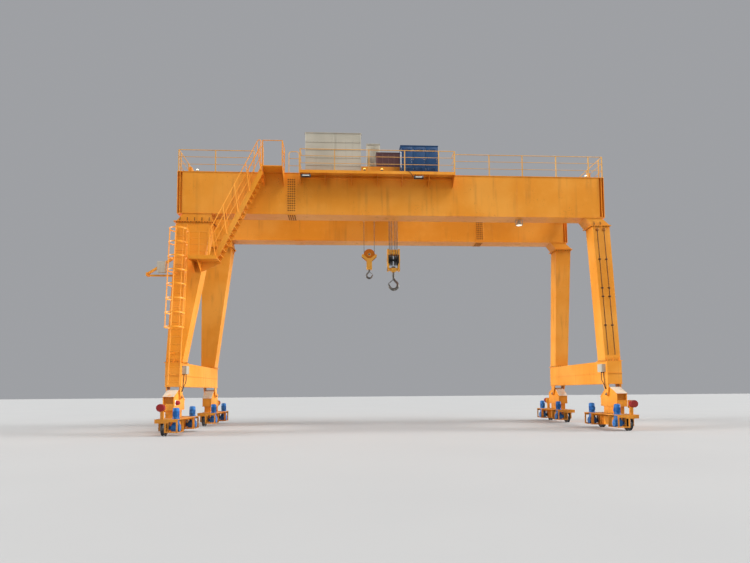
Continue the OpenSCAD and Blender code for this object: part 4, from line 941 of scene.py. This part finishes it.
def hook_line(hook, middle):
    """A hook's middle line in its own plane, from the neck round the bowl to a tip that leans out.

    The neck is a cubic curve: (2t^3 - 3t^2 + 1) a + (t^3 - 2t^2 + t) a' + (3t^2 - 2t^3) b + (t^3 - t^2) b'."""
    arc = np.radians(np.linspace(128, 338, 44))
    ring = (0, middle) + hook.bowl * np.stack([np.cos(arc), np.sin(arc)], 1)
    ways = np.stack([-np.sin(arc), np.cos(arc)], 1) * hook.bowl
    neck = np.array([0, middle + 1.9 * hook.bowl])
    t = np.linspace(0, 1, 14)[:-1, None]
    curve = ((2 * t**3 - 3 * t**2 + 1) * neck + (t**3 - 2 * t**2 + t) * np.array([0, -1.4 * hook.bowl])
             + (3 * t**2 - 2 * t**3) * ring[0] + (t**3 - t**2) * ways[0] * 1.4)
    tip = ring[-1] + ways[-1] * np.linspace(0.06, 0.8, 9)[:, None]
    return np.concatenate([curve, ring, tip])


def hook_shape(hook, low, top):
    """A forged hook between two heights: oval rings along its middle line, thickest below the bowl, shank and nut."""
    middle = low + hook.bowl + hook.thick
    line = hook_line(hook, middle)
    share = [0, 0.2, 0.45, 0.62, 0.8, 0.93, 1]
    wide = np.interp(np.linspace(0, 1, len(line)), share, [0.8, 0.8, 0.97, 1.0, 0.85, 0.62, 0.3])[:, None] * hook.thick
    run = np.gradient(line, axis=0)
    run /= np.linalg.norm(run, axis=1)[:, None]
    across = np.stack([run[:, 1], -run[:, 0]], 1)
    a = round_turn(28)
    flat = line[:, None] + across[:, None] * (wide * np.cos(a))[..., None]
    body = tube(np.stack([flat[..., 0], 0.82 * wide * np.sin(a), flat[..., 1]], -1))
    neck_z, shank, nut, seat = line[0, 1], hook.shank, hook.nut, top - hook.nut_height
    rod = lathe([(hook.thick * 0.8, neck_z - 0.02), (shank * 1.04, neck_z + 0.05), (shank, neck_z + 0.09),
                 (shank, top - 0.01), (shank * 0.85, top)], sides=32)
    cap = lathe([(nut * 0.92, seat + 0.001), (nut, seat + 0.012), (nut, top - 0.022), (nut * 0.92, top - 0.012)],
                sides=6)
    return joined([body, rod, cap]).mapped([[hook.side, 0, 0], [0, 1, 0], [0, 0, 1]]).moved((hook.x, 0, 0)), middle


def hooks():
    """Both hooks with a spring latch across each mouth."""
    for name, hook in HOOKS.items():
        low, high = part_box(name)
        shape, z = hook_shape(hook, low.z, high.z)
        piece(name + "_forging", shape, forged, name, smooth=45, stands_for=(name,))
        bends = ((-0.03, 1.45), (0.35, 1.1), (1.12, 0.42))
        path = [(x * hook.side * hook.bowl, 0, z + h * hook.bowl) for x, h in bends]
        section = np.array([(-0.28, -0.05), (0.28, -0.05), (0.28, 0.05), (-0.28, 0.05)]) * hook.thick
        latch = sweep(rounded(path, 0.4 * hook.bowl), section, up=(0, 1, 0))
        piece(name + "_latch", latch.moved((hook.x, 0, 0)), steel, name)


def machinery_dress():
    """Fins, cowls and boxes on the trolley's motors: the hoist's along -X, the small drum's along -Y, two upright."""
    lying = motor_dress(0.16, 0.5).mapped([[0, 0, -1], [0, 1, 0], [1, 0, 0]])
    parts = [lying.moved((trolley_x - 0.36, HOIST_MOTOR_Y, hoist_motor_z))]
    small = motor_dress(0.115, 0.32).mapped([[1, 0, 0], [0, 0, -1], [0, 1, 0]])
    parts.append(small.moved((aux_drum_x, -0.63, aux_drum_z)))
    upright = motor_dress(0.085, 0.26, 20)
    parts += [upright.moved((trolley_x + 1.27, y, frame_top + 0.135)) for y in (-1.45, 1.45)]
    piece("trolley_motor_dress", joined(parts), blue, "trolley", smooth=30)
    rims = [lathe([(0.236, 0), (0.236, 0.012)], (trolley_x - 0.105 + d, MAIN_DRUM_Y, drum_z), (1, 0, 0), 40)
            for d in (-0.012, 0.0)]
    piece("gear_case_seam", joined(rims), blue, "trolley", smooth=30)
    coupling = lathe([(0.075, 0), (0.075, 0.05), (0.06, 0.052), (0.06, 0.07), (0.075, 0.072), (0.075, 0.12)],
                     (trolley_x - 0.345, HOIST_MOTOR_Y, hoist_motor_z), (1, 0, 0), 24)
    piece("hoist_coupling", coupling, dark, "trolley", smooth=30)


def block_plates():
    """Pin plates on the cheeks of both blocks, and bolts round the main block's."""
    main, small, heads = [], [], []
    for s in (-1, 1):
        x = main_x + s * 0.29
        for z in (main_axle_z, main_axle_z - 0.44):
            main.append(lathe([(0.075, 0), (0.075, 0.012), (0.05, 0.018)], (x, 0, z), (s, 0, 0), 28))
            spots = [(x, y, z + d) for y in (-0.1, 0.1) for d in (-0.05, 0.05)]
            heads.append(bolts(0.011, (s, 0, 0), spots))
        small.append(lathe([(0.05, 0), (0.05, 0.012), (0.035, 0.018)], (aux_x, s * 0.113, aux_axle_z), (0, s, 0), 24))
    piece("main_block_pin_plates", joined(main), steel, "main_block", smooth=30)
    piece("aux_block_pin_plates", joined(small), steel, "aux_block", smooth=30)
    piece("main_block_bolts", joined(heads), steel, "main_block")


def aim_camera():
    """The camera stands where the photograph's perspective puts it: 25 m in front, at eye level, lens raised.

    Focal length and the optical axis's row below the middle one are in pixels of a picture that is 750 wide."""
    eye = (mid_x - 2.222, -24.987, 1.618)
    yaw, pitch, roll = 0.05716, 0.06363, -0.00726
    focal, drop, wide = 540.8, 75.53, 750
    data = bpy.data.cameras.new("camera")
    data.sensor_width = 36.0
    data.lens = focal / wide * data.sensor_width
    data.shift_y = drop / wide
    data.clip_end = 400.0
    camera = bpy.data.objects.new("camera", data)
    aim = Matrix.Rotation(-yaw, 4, "Z") @ Matrix.Rotation(math.pi / 2 + pitch, 4, "X")
    camera.matrix_world = Matrix.Translation(eye) @ aim @ Matrix.Rotation(roll, 4, "Z")
    bpy.context.scene.collection.objects.link(camera)
    bpy.context.scene.camera = camera


def light_studio():
    """Soft light from both ends of the span and less from above, over a pale floor."""
    world = bpy.data.worlds.new("studio")
    bpy.context.scene.world = world
    world.use_nodes = True
    back = world.node_tree.nodes["Background"]
    back.inputs["Color"].default_value = (0.93, 0.95, 1.0, 1.0)
    back.inputs["Strength"].default_value = 0.37
    for name, strength, angle, way in (
        ("from_right", 4.2, 24.0, (-0.97, 0.06, -0.22)),
        ("from_left", 3.8, 24.0, (0.97, 0.08, -0.22)),
        ("from_above", 1.6, 30.0, (-0.35, 0.42, -0.84)),
    ):
        lamp = bpy.data.lights.new(name, "SUN")
        lamp.energy = strength
        lamp.angle = math.radians(angle)
        thing = bpy.data.objects.new(name, lamp)
        thing.rotation_euler = Vector(way).to_track_quat("-Z", "Y").to_euler()
        bpy.context.scene.collection.objects.link(thing)
    f = Finish("floor", "orange_paint")
    f.set(Base_Color=f.mix((0.5, 0.5, 0.49), (0.46, 0.46, 0.455), f.noise(0.2, 3.0)), Roughness=0.9)
    across = np.linspace(-150, 150, 3)
    x, y = np.meshgrid(across, across, indexing="ij")
    flat = grid(np.stack([x, y, np.zeros_like(x)], -1))
    floor = piece("floor", flat, f, None)
    del floor["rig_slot"]


for build in (
    splice_bolts, leg_flange_bolts, rail_clips, house_details, cabinet_doors, trolley_cladding, bogie_details,
    sill_hoses, alarm_lamp, leg_conduits, saddle_gussets, weld_beads, railing_feet, girder_lamps, walkway_lamps,
    rope_turns, rope_falls, hooks, machinery_dress, block_plates,
):
    build()

aim_camera()
light_studio()
bpy.context.scene.view_settings.view_transform = "Standard"
